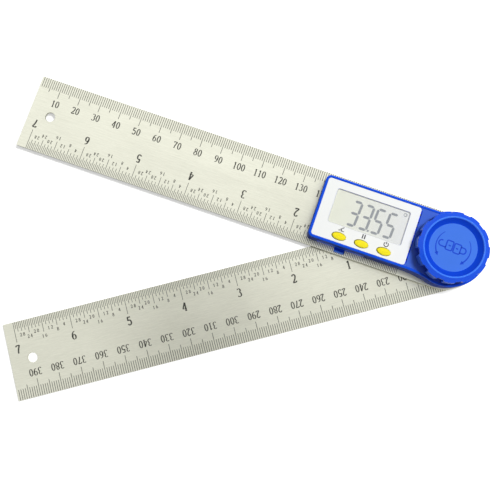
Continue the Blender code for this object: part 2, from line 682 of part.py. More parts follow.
def build_board(green, black, steel, metal):
    """Circuit board with its round sensor end, chip cover, key switches and screws."""
    outline = housing_outline(WALL + BOARD_MARGIN)
    board = finish_object("circuit_board", extruded(outline, BOARD_FOOT, BOARD_TOP), green)
    low = BOARD_FOOT - OVERRUN
    high = BOARD_TOP + OVERRUN
    cuts = [cylinder((0, 0), BOARD_HOLE_RADIUS, low, high, ROUND_STEPS)]
    cuts += [
        cylinder((x, y), radius + RUNNING_GAP, low, high) for x, y, radius in HOUSING_BOSSES
    ]
    screw_hole = BOARD_SCREW_RADIUS + THIN_GAP
    cuts += [cylinder(place, screw_hole, low, high, TINY_STEPS) for place in BOARD_BOSSES]
    apply_boolean(board, "board_cuts", gathered(cuts))
    chip_x = (PAD_START + CONTACT_PAD - ROTOR_RADIUS) / 2
    chip_top = BOARD_FOOT - THIN_GAP
    chip_profile = [(0, chip_top)]
    for step in range(CHIP_STEPS):
        angle = step * math.pi / 2 / CHIP_STEPS
        height = chip_top - CHIP_HEIGHT * math.sin(angle)
        chip_profile.append((CHIP_RADIUS * math.cos(angle), height))
    chip_profile.append((0, chip_top - CHIP_HEIGHT))
    finish_object("chip_cover", turned(chip_profile, SMALL_STEPS, (chip_x, 0)), black)
    for label, centre in zip(KEY_NAMES, KEY_CENTRES):
        foot = BOARD_TOP + THIN_GAP
        half = SWITCH_SIZE / 2
        body = block(
            (centre.x - half, centre.y - half, foot),
            (centre.x + half, centre.y + half, foot + SWITCH_HEIGHT),
        )
        switch = finish_object("switch_" + label, body, metal)
        plunger_top = KEY_FLANGE_FOOT - KEY_TRAVEL - THIN_GAP
        plunger = cylinder(
            centre, SWITCH_PLUNGER_RADIUS, foot + SWITCH_HEIGHT / 2, plunger_top, TINY_STEPS,
        )
        apply_boolean(switch, f"switch_{label}_plunger", plunger, "UNION")
    for index, place in enumerate(BOARD_BOSSES, 1):
        board_screw(f"board_screw_{index}", place, steel)


def build_keys(yellow):
    """Three elliptic keys, each with a flange that keeps it under the housing's top."""
    crown = LABEL_TOP + KEY_RISE
    half_length = KEY_LENGTH / 2
    half_width = KEY_WIDTH / 2
    grown = RUNNING_GAP + KEY_FLANGE
    levels = [
        (half_length + grown, half_width + grown, KEY_FLANGE_FOOT),
        (half_length + grown, half_width + grown, KEY_FLANGE_TOP),
        (half_length, half_width, KEY_FLANGE_TOP),
    ]
    for inward_share, drop_share in KEY_CROWN_SHARES:
        inward = KEY_SHOULDER * inward_share
        height = crown - KEY_SHOULDER * drop_share
        levels.append((half_length - inward, half_width - inward, height))
    levels.append((half_length / 2, half_width / 2, crown))
    for label, centre in zip(KEY_NAMES, KEY_CENTRES):
        origin = (centre.x, centre.y, KEY_FLANGE_FOOT)
        finish_object("button_" + label, stacked_ellipses(centre, levels), yellow, None, origin)


def build_tray(blue, cell_steel, spring_steel):
    """Sliding tray with the coin cell, and the two contacts that reach it from the board."""
    tray_axis = make_axis("tray_slide", (TRAY_CENTRE_X, -HALF_HOUSING, TRAY_FOOT))
    tray_height = TRAY_TOP - TRAY_FOOT
    body = block(
        (-TRAY_HALF, 0, 0), (TRAY_HALF, TRAY_REAR + HALF_HOUSING, tray_height),
    )
    tray = finish_object("battery_tray", body, blue, tray_axis)
    tab_half = TRAY_TAB_LENGTH / 2
    tab = block(
        (-tab_half, -TRAY_TAB_REACH, 0),
        (tab_half, TRAY_FRONT / 2, TRAY_TAB_HEIGHT),
    )
    apply_boolean(tray, "tray_tab", tab, "UNION")
    cell_y = CELL_CENTRE.y - tray_axis.location.y
    pocket_top = tray_height + OVERRUN
    pocket = cylinder((0, cell_y), CELL_RADIUS + SEAT_GAP, TRAY_FLOOR, pocket_top, ROUND_STEPS)
    apply_boolean(tray, "tray_pocket", pocket)
    push_hole = cylinder((0, cell_y), PUSH_HOLE_RADIUS, -OVERRUN, TRAY_FLOOR + OVERRUN)
    apply_boolean(tray, "tray_push_hole", push_hole)
    foot = CELL_FOOT - TRAY_FOOT
    top = CELL_TOP - TRAY_FOOT
    profile = [
        (0, foot),
        (CELL_RADIUS - CELL_STEP, foot),
        (CELL_RADIUS, foot + CELL_STEP),
        (CELL_RADIUS, top - CELL_STEP * 2),
        (CELL_RADIUS - CELL_STEP, top - CELL_STEP),
        (CELL_RADIUS - CELL_EDGE, top - CELL_STEP),
        (CELL_RADIUS - CELL_EDGE - CELL_STEP, top),
        (0, top),
    ]
    cell = turned(profile, ROUND_STEPS, (0, cell_y))
    finish_object("coin_cell", cell, cell_steel, tray_axis)
    leaf = CELL_TOP + THIN_GAP
    pad = BOARD_FOOT - THIN_GAP - CONTACT_THICKNESS
    top_path = [
        (CELL_CENTRE.x - CONTACT_TIP, leaf + CONTACT_THICKNESS),
        (CELL_CENTRE.x, leaf),
        (CELL_CENTRE.x + CONTACT_TIP, leaf + CONTACT_THICKNESS / 2),
        (PAD_START, pad),
        (PAD_START + CONTACT_PAD, pad),
    ]
    finish_object("contact_top", folded_strip(
        top_path, CONTACT_WIDTH, CONTACT_THICKNESS,
        lambda run, side, height: (run, CELL_CENTRE.y + side, height),
    ), spring_steel)
    behind = CELL_CENTRE.y + CELL_RADIUS + THIN_GAP
    rim_low = CELL_FOOT + CELL_STEP
    side_path = [
        (behind + CONTACT_THICKNESS * 2, rim_low),
        (behind + CONTACT_THICKNESS, (rim_low + CELL_TOP) / 2),
        (behind + CONTACT_THICKNESS * 2, pad),
        (behind + CONTACT_PAD, pad),
    ]
    finish_object("contact_side", folded_strip(
        side_path, CONTACT_WIDTH, CONTACT_THICKNESS,
        lambda run, side, height: (TRAY_CENTRE_X + side, run, height),
    ), spring_steel)


def key_flat_block(bottom, top):
    """The block beyond the rotor seat's flat, which keys the rotor to the hub."""
    side = HUB_RADIUS * 2
    return block((ROTOR_KEY_FLAT, -side, bottom), (side, side, top))


def build_pivot(axis, steel, screw_steel, fibre, dark_steel):
    """Everything that turns with the lower rule."""
    rule = build_rule("lower_rule", 0, steel, axis)
    places = [
        (HUB_SCREW_CIRCLE * math.cos(turn), HUB_SCREW_CIRCLE * math.sin(turn))
        for turn in (math.pi / 3 + step * 2 * math.pi / 3 for step in range(3))
    ]
    apply_boolean(rule, "lower_rule_holes", gathered([countersink(place, 0) for place in places]))
    for index, place in enumerate(places, 1):
        flush_screw(f"hub_screw_{index}", place, 0, HUB_SCREW_LENGTH, screw_steel, axis)
    flange_foot = LOWER_TOP + SEAT_GAP
    flange_top = flange_foot + SPACER_THICKNESS
    groove = ROTOR_SEAT_RADIUS - CLIP_GROOVE_DEPTH
    groove_foot = CLIP_FOOT - THIN_GAP
    groove_top = CLIP_TOP + THIN_GAP
    seat_top = groove_top + CLIP_THICKNESS
    profile = [
        (0, flange_foot),
        (HUB_FLANGE_RADIUS, flange_foot),
        (HUB_FLANGE_RADIUS, flange_top),
        (HUB_RADIUS, flange_top),
        (HUB_RADIUS, HUB_SHOULDER),
        (ROTOR_SEAT_RADIUS, HUB_SHOULDER),
        (ROTOR_SEAT_RADIUS, groove_foot),
        (groove, groove_foot),
        (groove, groove_top),
        (ROTOR_SEAT_RADIUS, groove_top),
        (ROTOR_SEAT_RADIUS, seat_top),
        (STUD_RADIUS, seat_top),
        (STUD_RADIUS, STUD_TOP - STUD_CHAMFER),
        (STUD_RADIUS - STUD_CHAMFER, STUD_TOP),
        (0, STUD_TOP),
    ]
    hub = finish_object("pivot_hub", turned(profile), dark_steel, axis)
    tap_top = THIN_GAP * 2 + HUB_SCREW_LENGTH
    taps = [
        cylinder(place, SCREW_RADIUS + THIN_GAP, flange_foot - OVERRUN, tap_top, TINY_STEPS)
        for place in places
    ]
    taps.append(key_flat_block(HUB_SHOULDER, groove_foot))
    apply_boolean(hub, "hub_cuts", gathered(taps))
    spacer = [
        (HUB_FLANGE_RADIUS + RUNNING_GAP, flange_foot),
        (SPACER_RADIUS, flange_foot),
        (SPACER_RADIUS, flange_top),
        (HUB_FLANGE_RADIUS + RUNNING_GAP, flange_top),
    ]
    finish_object("spacer_washer", turned(spacer), fibre, axis)
    return groove


def build_sensor(axis, green, spring_steel, groove):
    """The sensor's keyed rotor disc and the open clip that holds it on the hub."""
    disc = cylinder((0, 0), ROTOR_RADIUS, ROTOR_FOOT, ROTOR_TOP, ROUND_STEPS)
    rotor = finish_object("rotor_disc", disc, green, axis)
    bore_radius = ROTOR_SEAT_RADIUS + THIN_GAP
    flat_angle = math.acos((ROTOR_KEY_FLAT + THIN_GAP) / bore_radius)
    bore_outline = arc_points(
        (0, 0), bore_radius, flat_angle, 2 * math.pi - flat_angle, SMALL_STEPS,
    )
    bore = extruded(bore_outline, ROTOR_FOOT - OVERRUN, ROTOR_TOP + OVERRUN)
    apply_boolean(rotor, "rotor_bore", bore)
    inner = groove + THIN_GAP
    outer = inner + CLIP_WIDTH
    clip = [(inner, CLIP_FOOT), (outer, CLIP_FOOT), (outer, CLIP_TOP), (inner, CLIP_TOP)]
    sweep = 2 * math.pi - CLIP_OPENING
    ring = turned(clip, ROUND_STEPS // 2, sweep=sweep, start=CLIP_OPENING / 2)
    finish_object("retaining_clip", ring, spring_steel, axis)


def build_knob(blue, brass, steel):
    """The lock knob with its lugs and dish, its threaded insert and the washer under it."""
    knob_axis = make_axis("knob_turn", (0, 0, KNOB_FOOT))
    lug_foot = KNOB_FOOT + KNOB_CORE_HEIGHT
    shoulder = KNOB_TOP - KNOB_SHOULDER_DROP
    inner = KNOB_CORE_RADIUS - KNOB_WALL
    boss = STUD_RADIUS + SEAT_GAP + INSERT_WALL + SEAT_GAP + KNOB_BOSS_WALL
    lift = KNOB_FOOT
    profile = [
        (0, DISH_UNDERSIDE - lift),
        (inner, DISH_UNDERSIDE - lift),
        (inner, 0),
        (KNOB_CORE_RADIUS, 0),
        (KNOB_CORE_RADIUS, lug_foot - lift),
        (KNOB_RADIUS, lug_foot + KNOB_LIP_ROUNDING - lift),
        (KNOB_RADIUS, shoulder - lift),
        (KNOB_LIP_RADIUS + KNOB_LIP_ROUNDING, KNOB_TOP - lift),
        (KNOB_LIP_RADIUS, KNOB_TOP - lift),
        (KNOB_LIP_RADIUS - KNOB_LIP_ROUNDING, KNOB_TOP - KNOB_LIP_ROUNDING - lift),
        (DISH_RADIUS, DISH_TOP - lift),
        (0, DISH_TOP - lift),
    ]
    knob = finish_object("lock_knob", turned(profile, FINE_STEPS), blue, knob_axis)
    root = DISH_UNDERSIDE + DISH_FLOOR / 2 - lift
    hub = cylinder((0, 0), boss, INSERT_FOOT - lift, root)
    apply_boolean(knob, "knob_boss", hub, "UNION")
    for index in range(KNOB_RIB_COUNT):
        turn = index * 2 * math.pi / KNOB_RIB_COUNT + math.pi / KNOB_RIB_COUNT
        rib = block(
            (boss - KNOB_BOSS_WALL / 2, -KNOB_RIB_THICKNESS / 2, KNOB_RIB_SETBACK),
            (inner + KNOB_WALL / 2, KNOB_RIB_THICKNESS / 2, root),
        )
        bmesh.ops.rotate(rib, verts=rib.verts, cent=(0, 0, 0), matrix=Matrix.Rotation(turn, 3, "Z"))
        apply_boolean(knob, f"knob_rib_{index + 1}", rib, "UNION")
    pitch = 2 * math.pi / LUG_COUNT
    gap_profile = [
        (KNOB_CORE_RADIUS + SEAT_GAP, lug_foot - OVERRUN - lift),
        (KNOB_RADIUS + OVERRUN, lug_foot - OVERRUN - lift),
        (KNOB_RADIUS + OVERRUN, KNOB_TOP + OVERRUN - lift),
        (KNOB_CAP_RADIUS, KNOB_TOP + OVERRUN - lift),
        (KNOB_CAP_RADIUS, shoulder - KNOB_CAP_THICKNESS - lift),
        (KNOB_CORE_RADIUS + SEAT_GAP, shoulder - KNOB_CAP_THICKNESS - lift),
    ]
    gaps = [
        turned(gap_profile, 4, sweep=pitch - LUG_ANGLE,
               start=FIRST_LUG_ANGLE + LUG_ANGLE / 2 + index * pitch)
        for index in range(LUG_COUNT)
    ]
    apply_boolean(knob, "knob_gaps", gathered(gaps))
    insert_radius = STUD_RADIUS + SEAT_GAP + INSERT_WALL
    pocket = cylinder((0, 0), insert_radius + SEAT_GAP, -OVERRUN, INSERT_TOP + THIN_GAP - lift)
    apply_boolean(knob, "knob_insert_pocket", pocket)
    insert_profile = [
        (STUD_RADIUS + SEAT_GAP, INSERT_FOOT - lift),
        (insert_radius, INSERT_FOOT - lift),
        (insert_radius, INSERT_TOP - lift),
        (STUD_RADIUS + SEAT_GAP, INSERT_TOP - lift),
    ]
    finish_object("knob_insert", turned(insert_profile, SMALL_STEPS), brass, knob_axis)
    washer = [
        (WASHER_BORE, WASHER_FOOT),
        (WASHER_RADIUS, WASHER_FOOT),
        (WASHER_RADIUS, WASHER_TOP),
        (WASHER_BORE, WASHER_TOP),
    ]
    finish_object("pressure_washer", turned(washer), steel)


def build():
    """Make every piece of the tool."""
    clear_scene()
    rule_steel = make_material("brushed steel", (0.62, 0.61, 0.55), 0.38, 1.0)
    screw_steel = make_material("screw steel", (0.45, 0.45, 0.45), 0.30, 1.0)
    dark_steel = make_material("turned steel", (0.36, 0.36, 0.37), 0.32, 1.0)
    spring_steel = make_material("spring steel", (0.55, 0.53, 0.48), 0.30, 1.0)
    cell_steel = make_material("nickel plate", (0.68, 0.67, 0.64), 0.22, 1.0)
    bronze = make_material("bearing bronze", (0.50, 0.33, 0.14), 0.40, 1.0)
    brass = make_material("brass", (0.70, 0.50, 0.20), 0.35, 1.0)
    housing_blue = make_material("housing blue", (0.020, 0.085, 0.62), 0.38)
    knob_blue = make_material("knob blue", (0.025, 0.120, 0.78), 0.36)
    label_white = make_material("label white", (0.88, 0.89, 0.88), 0.30)
    key_yellow = make_material("key yellow", (0.95, 0.80, 0.02), 0.45)
    lens_clear = make_material("clear lens", (0.90, 0.93, 0.90), 0.08, 0.0, 0.35)
    display_glass = make_material("display glass", (0.62, 0.64, 0.56), 0.15)
    board_green = make_material("board green", (0.02, 0.18, 0.07), 0.40)
    resin_black = make_material("black resin", (0.01, 0.01, 0.01), 0.35)
    frame_white = make_material("frame white", (0.72, 0.72, 0.70), 0.50)
    strip_grey = make_material("grey elastomer", (0.16, 0.16, 0.17), 0.70)
    fibre = make_material("white nylon", (0.78, 0.77, 0.72), 0.45)

    build_upper_rule(rule_steel, screw_steel, bronze)
    build_housing(housing_blue)
    build_label(label_white)
    build_display(lens_clear, display_glass, frame_white, strip_grey)
    build_board(board_green, resin_black, screw_steel, spring_steel)
    build_keys(key_yellow)
    build_tray(housing_blue, cell_steel, spring_steel)
    pivot_axis = make_axis("arm_hinge", turn=OPENING_ANGLE)
    groove = build_pivot(pivot_axis, rule_steel, screw_steel, fibre, dark_steel)
    build_sensor(pivot_axis, board_green, spring_steel, groove)
    build_knob(knob_blue, brass, spring_steel)


build()
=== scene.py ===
# %% [markdown]
# # Angle finder with arms
# Two steel rules turn on one pivot. The upper one carries a blue housing with a
# display, three keys and a battery tray, and a blue knob locks the angle.
# The solids come from the packed model. This file gives them their finished
# surfaces: rolled edges, etched scales, moulded lugs, and a finish for every piece.

# %% Load the packed model
import json
import math

import bmesh
import bpy
import numpy as np
from mathutils import Matrix, Vector

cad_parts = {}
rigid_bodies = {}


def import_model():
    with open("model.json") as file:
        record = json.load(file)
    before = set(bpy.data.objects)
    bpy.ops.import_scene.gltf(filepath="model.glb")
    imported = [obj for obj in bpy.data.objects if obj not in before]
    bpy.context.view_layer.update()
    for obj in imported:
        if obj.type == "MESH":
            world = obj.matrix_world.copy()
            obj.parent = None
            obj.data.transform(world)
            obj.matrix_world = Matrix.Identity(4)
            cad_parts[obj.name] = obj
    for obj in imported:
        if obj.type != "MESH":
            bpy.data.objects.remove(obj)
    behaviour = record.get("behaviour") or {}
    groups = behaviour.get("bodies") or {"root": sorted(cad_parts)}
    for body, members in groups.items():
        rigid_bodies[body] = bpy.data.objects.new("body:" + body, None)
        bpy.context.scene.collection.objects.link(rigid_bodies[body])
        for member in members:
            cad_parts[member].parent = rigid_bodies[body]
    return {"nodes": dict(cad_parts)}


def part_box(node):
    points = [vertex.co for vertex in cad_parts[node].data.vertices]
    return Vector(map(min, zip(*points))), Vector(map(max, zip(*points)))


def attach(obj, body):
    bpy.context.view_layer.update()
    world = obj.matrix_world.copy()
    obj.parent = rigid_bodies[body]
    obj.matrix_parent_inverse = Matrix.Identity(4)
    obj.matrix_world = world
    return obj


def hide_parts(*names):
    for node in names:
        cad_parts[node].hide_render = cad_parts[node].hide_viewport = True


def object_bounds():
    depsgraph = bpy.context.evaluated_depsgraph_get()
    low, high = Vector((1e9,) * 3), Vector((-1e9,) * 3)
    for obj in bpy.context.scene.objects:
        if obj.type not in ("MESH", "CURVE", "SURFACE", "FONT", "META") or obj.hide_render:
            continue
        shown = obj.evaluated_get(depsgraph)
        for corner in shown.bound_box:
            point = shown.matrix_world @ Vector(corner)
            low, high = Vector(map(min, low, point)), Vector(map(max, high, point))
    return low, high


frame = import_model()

cad_low, cad_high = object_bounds()
MM = 0.001
TURN = 2 * math.pi
QUARTER = TURN / 4
print("box in mm:", [round(v / MM, 1) for v in (*cad_low, *cad_high)])

# %% [markdown]
# ## Surfaces from grids
# A shape here is a grid of points: each row is a ring or a line, and each column runs
# from row to row. Turned pieces, plates with rolled edges and swept strokes are all
# such grids, so one function can turn any of them into faces. Working the points out
# as whole arrays keeps the formula of each shape in one place.

# %% A grid of points as faces
def grid(points, wrap_rows=False, wrap_columns=True, capped=False, smooth=True):
    """Faces over a grid of points.

    Point (row, column) joins (row, column + 1) and (row + 1, column). Wrapping joins the
    last row or column to the first one, and caps close the first and last ring.
    """
    points = np.asarray(points, float)
    rows, columns = points.shape[:2]
    row = np.arange(rows if wrap_rows else rows - 1)[:, None]
    column = np.arange(columns if wrap_columns else columns - 1)[None, :]
    below = row % rows * columns
    above = (row + 1) % rows * columns
    left = column % columns
    right = (column + 1) % columns
    corners = (below + left, below + right, above + right, above + left)
    faces = np.stack(corners, axis=-1).reshape(-1, 4).tolist()
    flags = [smooth] * len(faces)
    if capped:
        faces.append(list(range(columns))[::-1])
        faces.append(list(range((rows - 1) * columns, rows * columns)))
        flags += [False, False]
    return points.reshape(-1, 3), faces, flags, [0] * len(faces)


print("two rings of four points make", len(grid(np.zeros((2, 4, 3)))[1]), "faces")

# %% Several shells as one piece
SAME_POINT = 0.00005 * MM


def weld(mesh):
    """Merge the doubles of a mesh, close its poles and point its faces outwards."""
    shape = bmesh.new()
    shape.from_mesh(mesh)
    bmesh.ops.remove_doubles(shape, verts=shape.verts, dist=SAME_POINT)
    bmesh.ops.recalc_face_normals(shape, faces=shape.faces)
    shape.to_mesh(mesh)
    shape.free()


def add_object(name, data):
    """A new object in the scene, at the origin."""
    thing = bpy.data.objects.new(name, data)
    bpy.context.scene.collection.objects.link(thing)
    return thing


def make_object(name, shells, finishes=()):
    """An object whose mesh is one or more shells of faces."""
    points, faces, flags, slots = [], [], [], []
    offset = 0
    for shell_points, shell_faces, shell_flags, shell_slots in shells:
        points.append(shell_points)
        faces += [[corner + offset for corner in face] for face in shell_faces]
        flags += shell_flags
        slots += shell_slots
        offset += len(shell_points)
    mesh = bpy.data.meshes.new(name)
    mesh.from_pydata(np.concatenate(points).tolist(), [], faces)
    mesh.polygons.foreach_set("use_smooth", flags)
    mesh.polygons.foreach_set("material_index", slots)
    for finish in finishes:
        mesh.materials.append(finish)
    weld(mesh)
    return add_object(name, mesh)


print("points closer than", round(SAME_POINT / MM, 6), "mm are welded")


# %% Cutting a piece, and giving it its body
def carve(piece, *cutters, operation="DIFFERENCE"):
    """Cut shells out of a piece one by one, or join them on, and keep the mesh that results."""
    for shell in cutters:
        cutter = make_object("cutter", [shell])
        modifier = piece.modifiers.new("cut", "BOOLEAN")
        modifier.operation = operation
        modifier.solver = "EXACT"
        modifier.object = cutter
        bpy.context.view_layer.update()
        shaped = piece.evaluated_get(bpy.context.evaluated_depsgraph_get())
        mesh = bpy.data.meshes.new_from_object(shaped)
        piece.modifiers.remove(modifier)
        old = piece.data
        piece.data = mesh
        bpy.data.meshes.remove(old)
        mesh.name = piece.name
        bpy.data.objects.remove(cutter, do_unlink=True)


def settle(piece, body, slot, *nodes):
    """Let a piece ride on its body and stand for its nodes. The slot argument is not used."""
    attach(piece, body)
    if nodes:
        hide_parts(*nodes)
    faces = len(piece.data.polygons)
    size = [round(side / MM, 1) for side in piece.dimensions]
    print(f"{piece.name}: {faces} faces, {size} mm, rides on {body}")


print("each piece gets its body by", settle.__name__)


# %% [markdown]
# ## Lines in plan, and the two ways to give them a body
# A plate is a closed line in plan with height. Sheet metal and mouldings never have
# knife edges, so the rim of a plate is a quarter circle that catches a thin line of
# light. A turned piece is a profile of radius and height swept round an upright axis.
# A bevel modifier could round the edges too, but rows of a grid put each one in place.

# %% Arcs and outlines
def arc(centre, radius, start, end, steps):
    """Points on an arc: centre + radius * (cos, sin) of evenly spaced angles."""
    angle = np.linspace(start, end, steps + 1)
    return np.stack((centre[0] + radius * np.cos(angle), centre[1] + radius * np.sin(angle)), 1)


def rounded_box(centre, length, width, corner, steps=8):
    """Outline of a rectangle with quarter arcs at its corners, anticlockwise."""
    arcs = []
    for index, (side_x, side_y) in enumerate(((1, 1), (-1, 1), (-1, -1), (1, -1))):
        middle = (centre[0] + side_x * (length / 2 - corner),
                  centre[1] + side_y * (width / 2 - corner))
        arcs.append(arc(middle, corner, index * QUARTER, (index + 1) * QUARTER, steps))
    return np.concatenate(arcs)


def box_line(centre, length, width, corner, steps=8, corner_share=1.0):
    """A rounded box as a function of inset; its corner shrinks by a share of the inset."""
    def line_at(inset):
        return rounded_box(centre, length - 2 * inset, width - 2 * inset,
                           corner - inset * corner_share, steps)
    return line_at


def raised(outline, height):
    """A line in plan, lifted to a height."""
    return np.column_stack((outline, np.full(len(outline), height)))


print("a box with round corners has", len(rounded_box((0, 0), 2, 1, 0.1)), "points")


# %% Plates with rolled rims
def rim(radius, steps=4):
    """Quarter circle as (inset, rise) steps, from the flat face out to the upright side."""
    angle = np.linspace(0, QUARTER, steps + 1)
    return radius * (1 - np.sin(angle)), radius * (1 - np.cos(angle))


def plate(outline, low, high, foot_edge, top_edge, side_finish=0):
    """A solid between two heights whose rims are quarter circles.

    outline(inset) is the closed line in plan, moved inwards by inset. The upright side
    can have a finish of its own.
    """
    foot_inset, foot_rise = rim(foot_edge)
    top_inset, top_rise = rim(top_edge)
    rings = [raised(outline(inset), low + rise) for inset, rise in zip(foot_inset, foot_rise)]
    rings += [
        raised(outline(inset), high - rise)
        for inset, rise in zip(top_inset[::-1], top_rise[::-1])
    ]
    points, faces, flags, slots = grid(np.array(rings), capped=True)
    columns = len(rings[0])
    side = slice((len(foot_inset) - 1) * columns, len(foot_inset) * columns)
    slots[side] = [side_finish] * columns
    return points, faces, flags, slots


def prism(outline, low, high):
    """An upright solid with sharp rims over a closed line."""
    return grid(np.array([raised(outline, low), raised(outline, high)]), capped=True)


test_plate = plate(box_line((0, 0), 2, 1, 0.1), 0, 1, 0.01, 0.01)
print("a plate with rolled rims has", len(test_plate[1]), "faces")


# %% Turned pieces
def turned(profile, steps=128, centre=(0, 0), closed=False):
    """A solid of revolution: (radius, height) rows swept round an upright axis."""
    profile = np.asarray(profile, float)
    angle = np.linspace(0, TURN, steps, endpoint=False)
    x = centre[0] + profile[:, :1] * np.cos(angle)
    y = centre[1] + profile[:, :1] * np.sin(angle)
    z = np.repeat(profile[:, 1:], steps, axis=1)
    return grid(np.stack((x, y, z), axis=-1), wrap_rows=closed)


def rod(centre, radius, low, high, steps=64):
    """A turned bar, flat at both ends."""
    return turned([(0, low), (radius, low), (radius, high), (0, high)], steps, centre)


def tube(centre, outer, inner, low, high, steps=32):
    """A turned sleeve, closed all round."""
    return turned([(inner, low), (outer, low), (outer, high), (inner, high)], steps, centre, True)


def near(radius, height, *steps):
    """Rows of a profile, each given in millimetres out and up from one of its corners."""
    return [(radius + out * MM, height + rise * MM) for out, rise in steps]


def turned_about(shell, angle, centre=(0, 0, 0)):
    """A shell turned about an upright axis through centre."""
    points, faces, flags, slots = shell
    cos, sin = math.cos(angle), math.sin(angle)
    spin = np.array(((cos, sin, 0), (-sin, cos, 0), (0, 0, 1)))
    middle = np.asarray(centre, float)
    return (points - middle) @ spin + middle, faces, flags, slots


print("a test ring has", len(turned([(1, 0), (1, 1)])[1]), "faces")

# %% [markdown]
# ## Shader maths in plain Python
# A finish is more than one colour: rolled steel has its grain, moulded plastic its
# faint orange peel. Such patterns are sums and products of noise, and they read best
# as Python expressions. The small class below wraps a socket, and each operator on it
# adds the Math node that does the same sum.

# %% Sockets with operators
class Wire:
    """The output socket of a node, with Python's arithmetic."""

    def __init__(self, nodes, socket):
        self.nodes = nodes
        self.socket = socket

    def maths(self, operation, *values):
        """The Math node that does an operation on numbers and wires."""
        return self.nodes.node("ShaderNodeMath", {"operation": operation}, values)

    def wave(self, period):
        """Sine of the value, which repeats once in each period."""
        return self.maths("SINE", self * (TURN / period))

    def __add__(self, other):
        return self.maths("ADD", self, other)

    def __sub__(self, other):
        return self.maths("SUBTRACT", self, other)

    def __rsub__(self, other):
        return self.maths("SUBTRACT", other, self)

    def __mul__(self, other):
        return self.maths("MULTIPLY", self, other)

    def __truediv__(self, other):
        return self.maths("DIVIDE", self, other)

    def __gt__(self, other):
        return self.maths("GREATER_THAN", self, other)

    __radd__ = __add__
    __rmul__ = __mul__


print("a wire is:", Wire.__doc__)


# %% Trees of nodes
class Nodes:
    """A tree that grows node by node, and the shader at its end."""

    def __init__(self, tree, shader):
        self.tree = tree
        self.shader = tree.nodes[shader]

    def feed(self, socket, value):
        """Give a socket a value, or link a wire to it."""
        if isinstance(value, Wire):
            self.tree.links.new(value.socket, socket)
        else:
            socket.default_value = value

    def set(self, name, value):
        """Give one of the shader's sockets a value, or a wire."""
        self.feed(self.shader.inputs[name], value)

    def node(self, kind, settings=None, inputs=(), output=0):
        """Add any node: its settings first, then the values or wires of its sockets."""
        made = self.tree.nodes.new(kind)
        for key, value in (settings or {}).items():
            setattr(made, key, value)
        pairs = inputs.items() if isinstance(inputs, dict) else enumerate(inputs)
        for key, value in pairs:
            self.feed(made.inputs[key], value)
        return Wire(self, made.outputs[output])

    def vectors(self, operation, *values, output=0):
        """The Vector Math node of an operation."""
        return self.node("ShaderNodeVectorMath", {"operation": operation}, values, output)

    def here(self):
        """Object coordinates, in metres."""
        return self.node("ShaderNodeTexCoord", output="Object")

    def axis(self, name):
        """The place along X, Y or Z."""
        return self.node("ShaderNodeSeparateXYZ", None, (self.here(),), name)

    def place(self, centre=(0, 0, 0), angle=0.0, stretch=(1, 1, 1)):
        """Object coordinates about a centre, turned back by angle, then stretched."""
        moved = self.vectors("SUBTRACT", self.here(), centre)
        level = self.node("ShaderNodeMapping", None, {"Vector": moved, "Rotation": (0, 0, -angle)})
        return self.vectors("MULTIPLY", level, stretch)

    def radius(self, centre=(0, 0)):
        """The distance from an upright axis."""
        flat = self.place((*centre, 0), stretch=(1, 1, 0))
        return self.vectors("LENGTH", flat, output="Value")

    def noise(self, place, size, detail=2.0):
        """Noise from 0 to 1 with blobs about as large as size."""
        return self.node("ShaderNodeTexNoise", None, {
            "Vector": place, "Scale": 1 / size, "Detail": detail, "Roughness": 0.6})

    def blend(self, factor, first, second):
        """A colour between two colours."""
        return self.node("ShaderNodeMix", {"data_type": "RGBA"}, {
            0: factor, 6: (*first, 1.0), 7: (*second, 1.0)}, output=2)

    def tinted(self, factor, colour, share):
        """The colour, from darker to lighter by a share of itself, as factor goes 0 to 1."""
        darker = [channel * (1 - share) for channel in colour]
        lighter = [min(channel * (1 + share), 1.0) for channel in colour]
        return self.blend(factor, darker, lighter)

    def relief(self, height, depth):
        """Raise the surface by height times depth in metres."""
        self.set("Normal", self.node(
            "ShaderNodeBump", None, {"Height": height, "Distance": depth, "Strength": 1.0}))


print("a tree of nodes knows:", [name for name in vars(Nodes) if not name.startswith("_")])


# %% A finish is the tree of a material
class Finish(Nodes):
    """A material with its Principled shader."""

    def __init__(self, name, colour, roughness, metallic=0.0, **constants):
        self.material = bpy.data.materials.new(name)
        self.material.use_nodes = True
        super().__init__(self.material.node_tree, "Principled BSDF")
        self.set("Base Color", (*colour, 1.0))
        self.set("Roughness", roughness)
        self.set("Metallic", metallic)
        for socket, value in constants.items():
            self.set(socket.replace("_", " "), value)
        self.material.diffuse_color = (*colour, 1.0)


print("finishes are built by", Finish.__name__)

# %% [markdown]
# ## Steel finishes
# The rules are rolled and then brushed along their length: long fine streaks in colour
# and roughness, with a slow change of tone along the strip. Noise that is squeezed
# across the strip and stretched along it gives such streaks. Turned parts carry rings
# round their own axis instead, so their pattern is a function of the radius. A picture
# of steel could be laid over them, but noise needs no file and never repeats.

# %% Brushed and turned steel
OPENING = math.radians(33.55)
STEEL = (0.775, 0.78, 0.635)
# The rules' side faces: a dull sheared edge, made darker still as painted shade for the dark line
# where the upper rule overhangs the lower one.
CUT_EDGE_AND_SHADE_STEEL = (0.16, 0.16, 0.155)
SCRATCH_DEPTH = 0.004 * MM


def streaks(finish, angle, squeeze, size, detail):
    """Noise that is squeezed across a direction in plan."""
    return finish.noise(finish.place(angle=angle, stretch=(1, squeeze, squeeze)), size, detail)


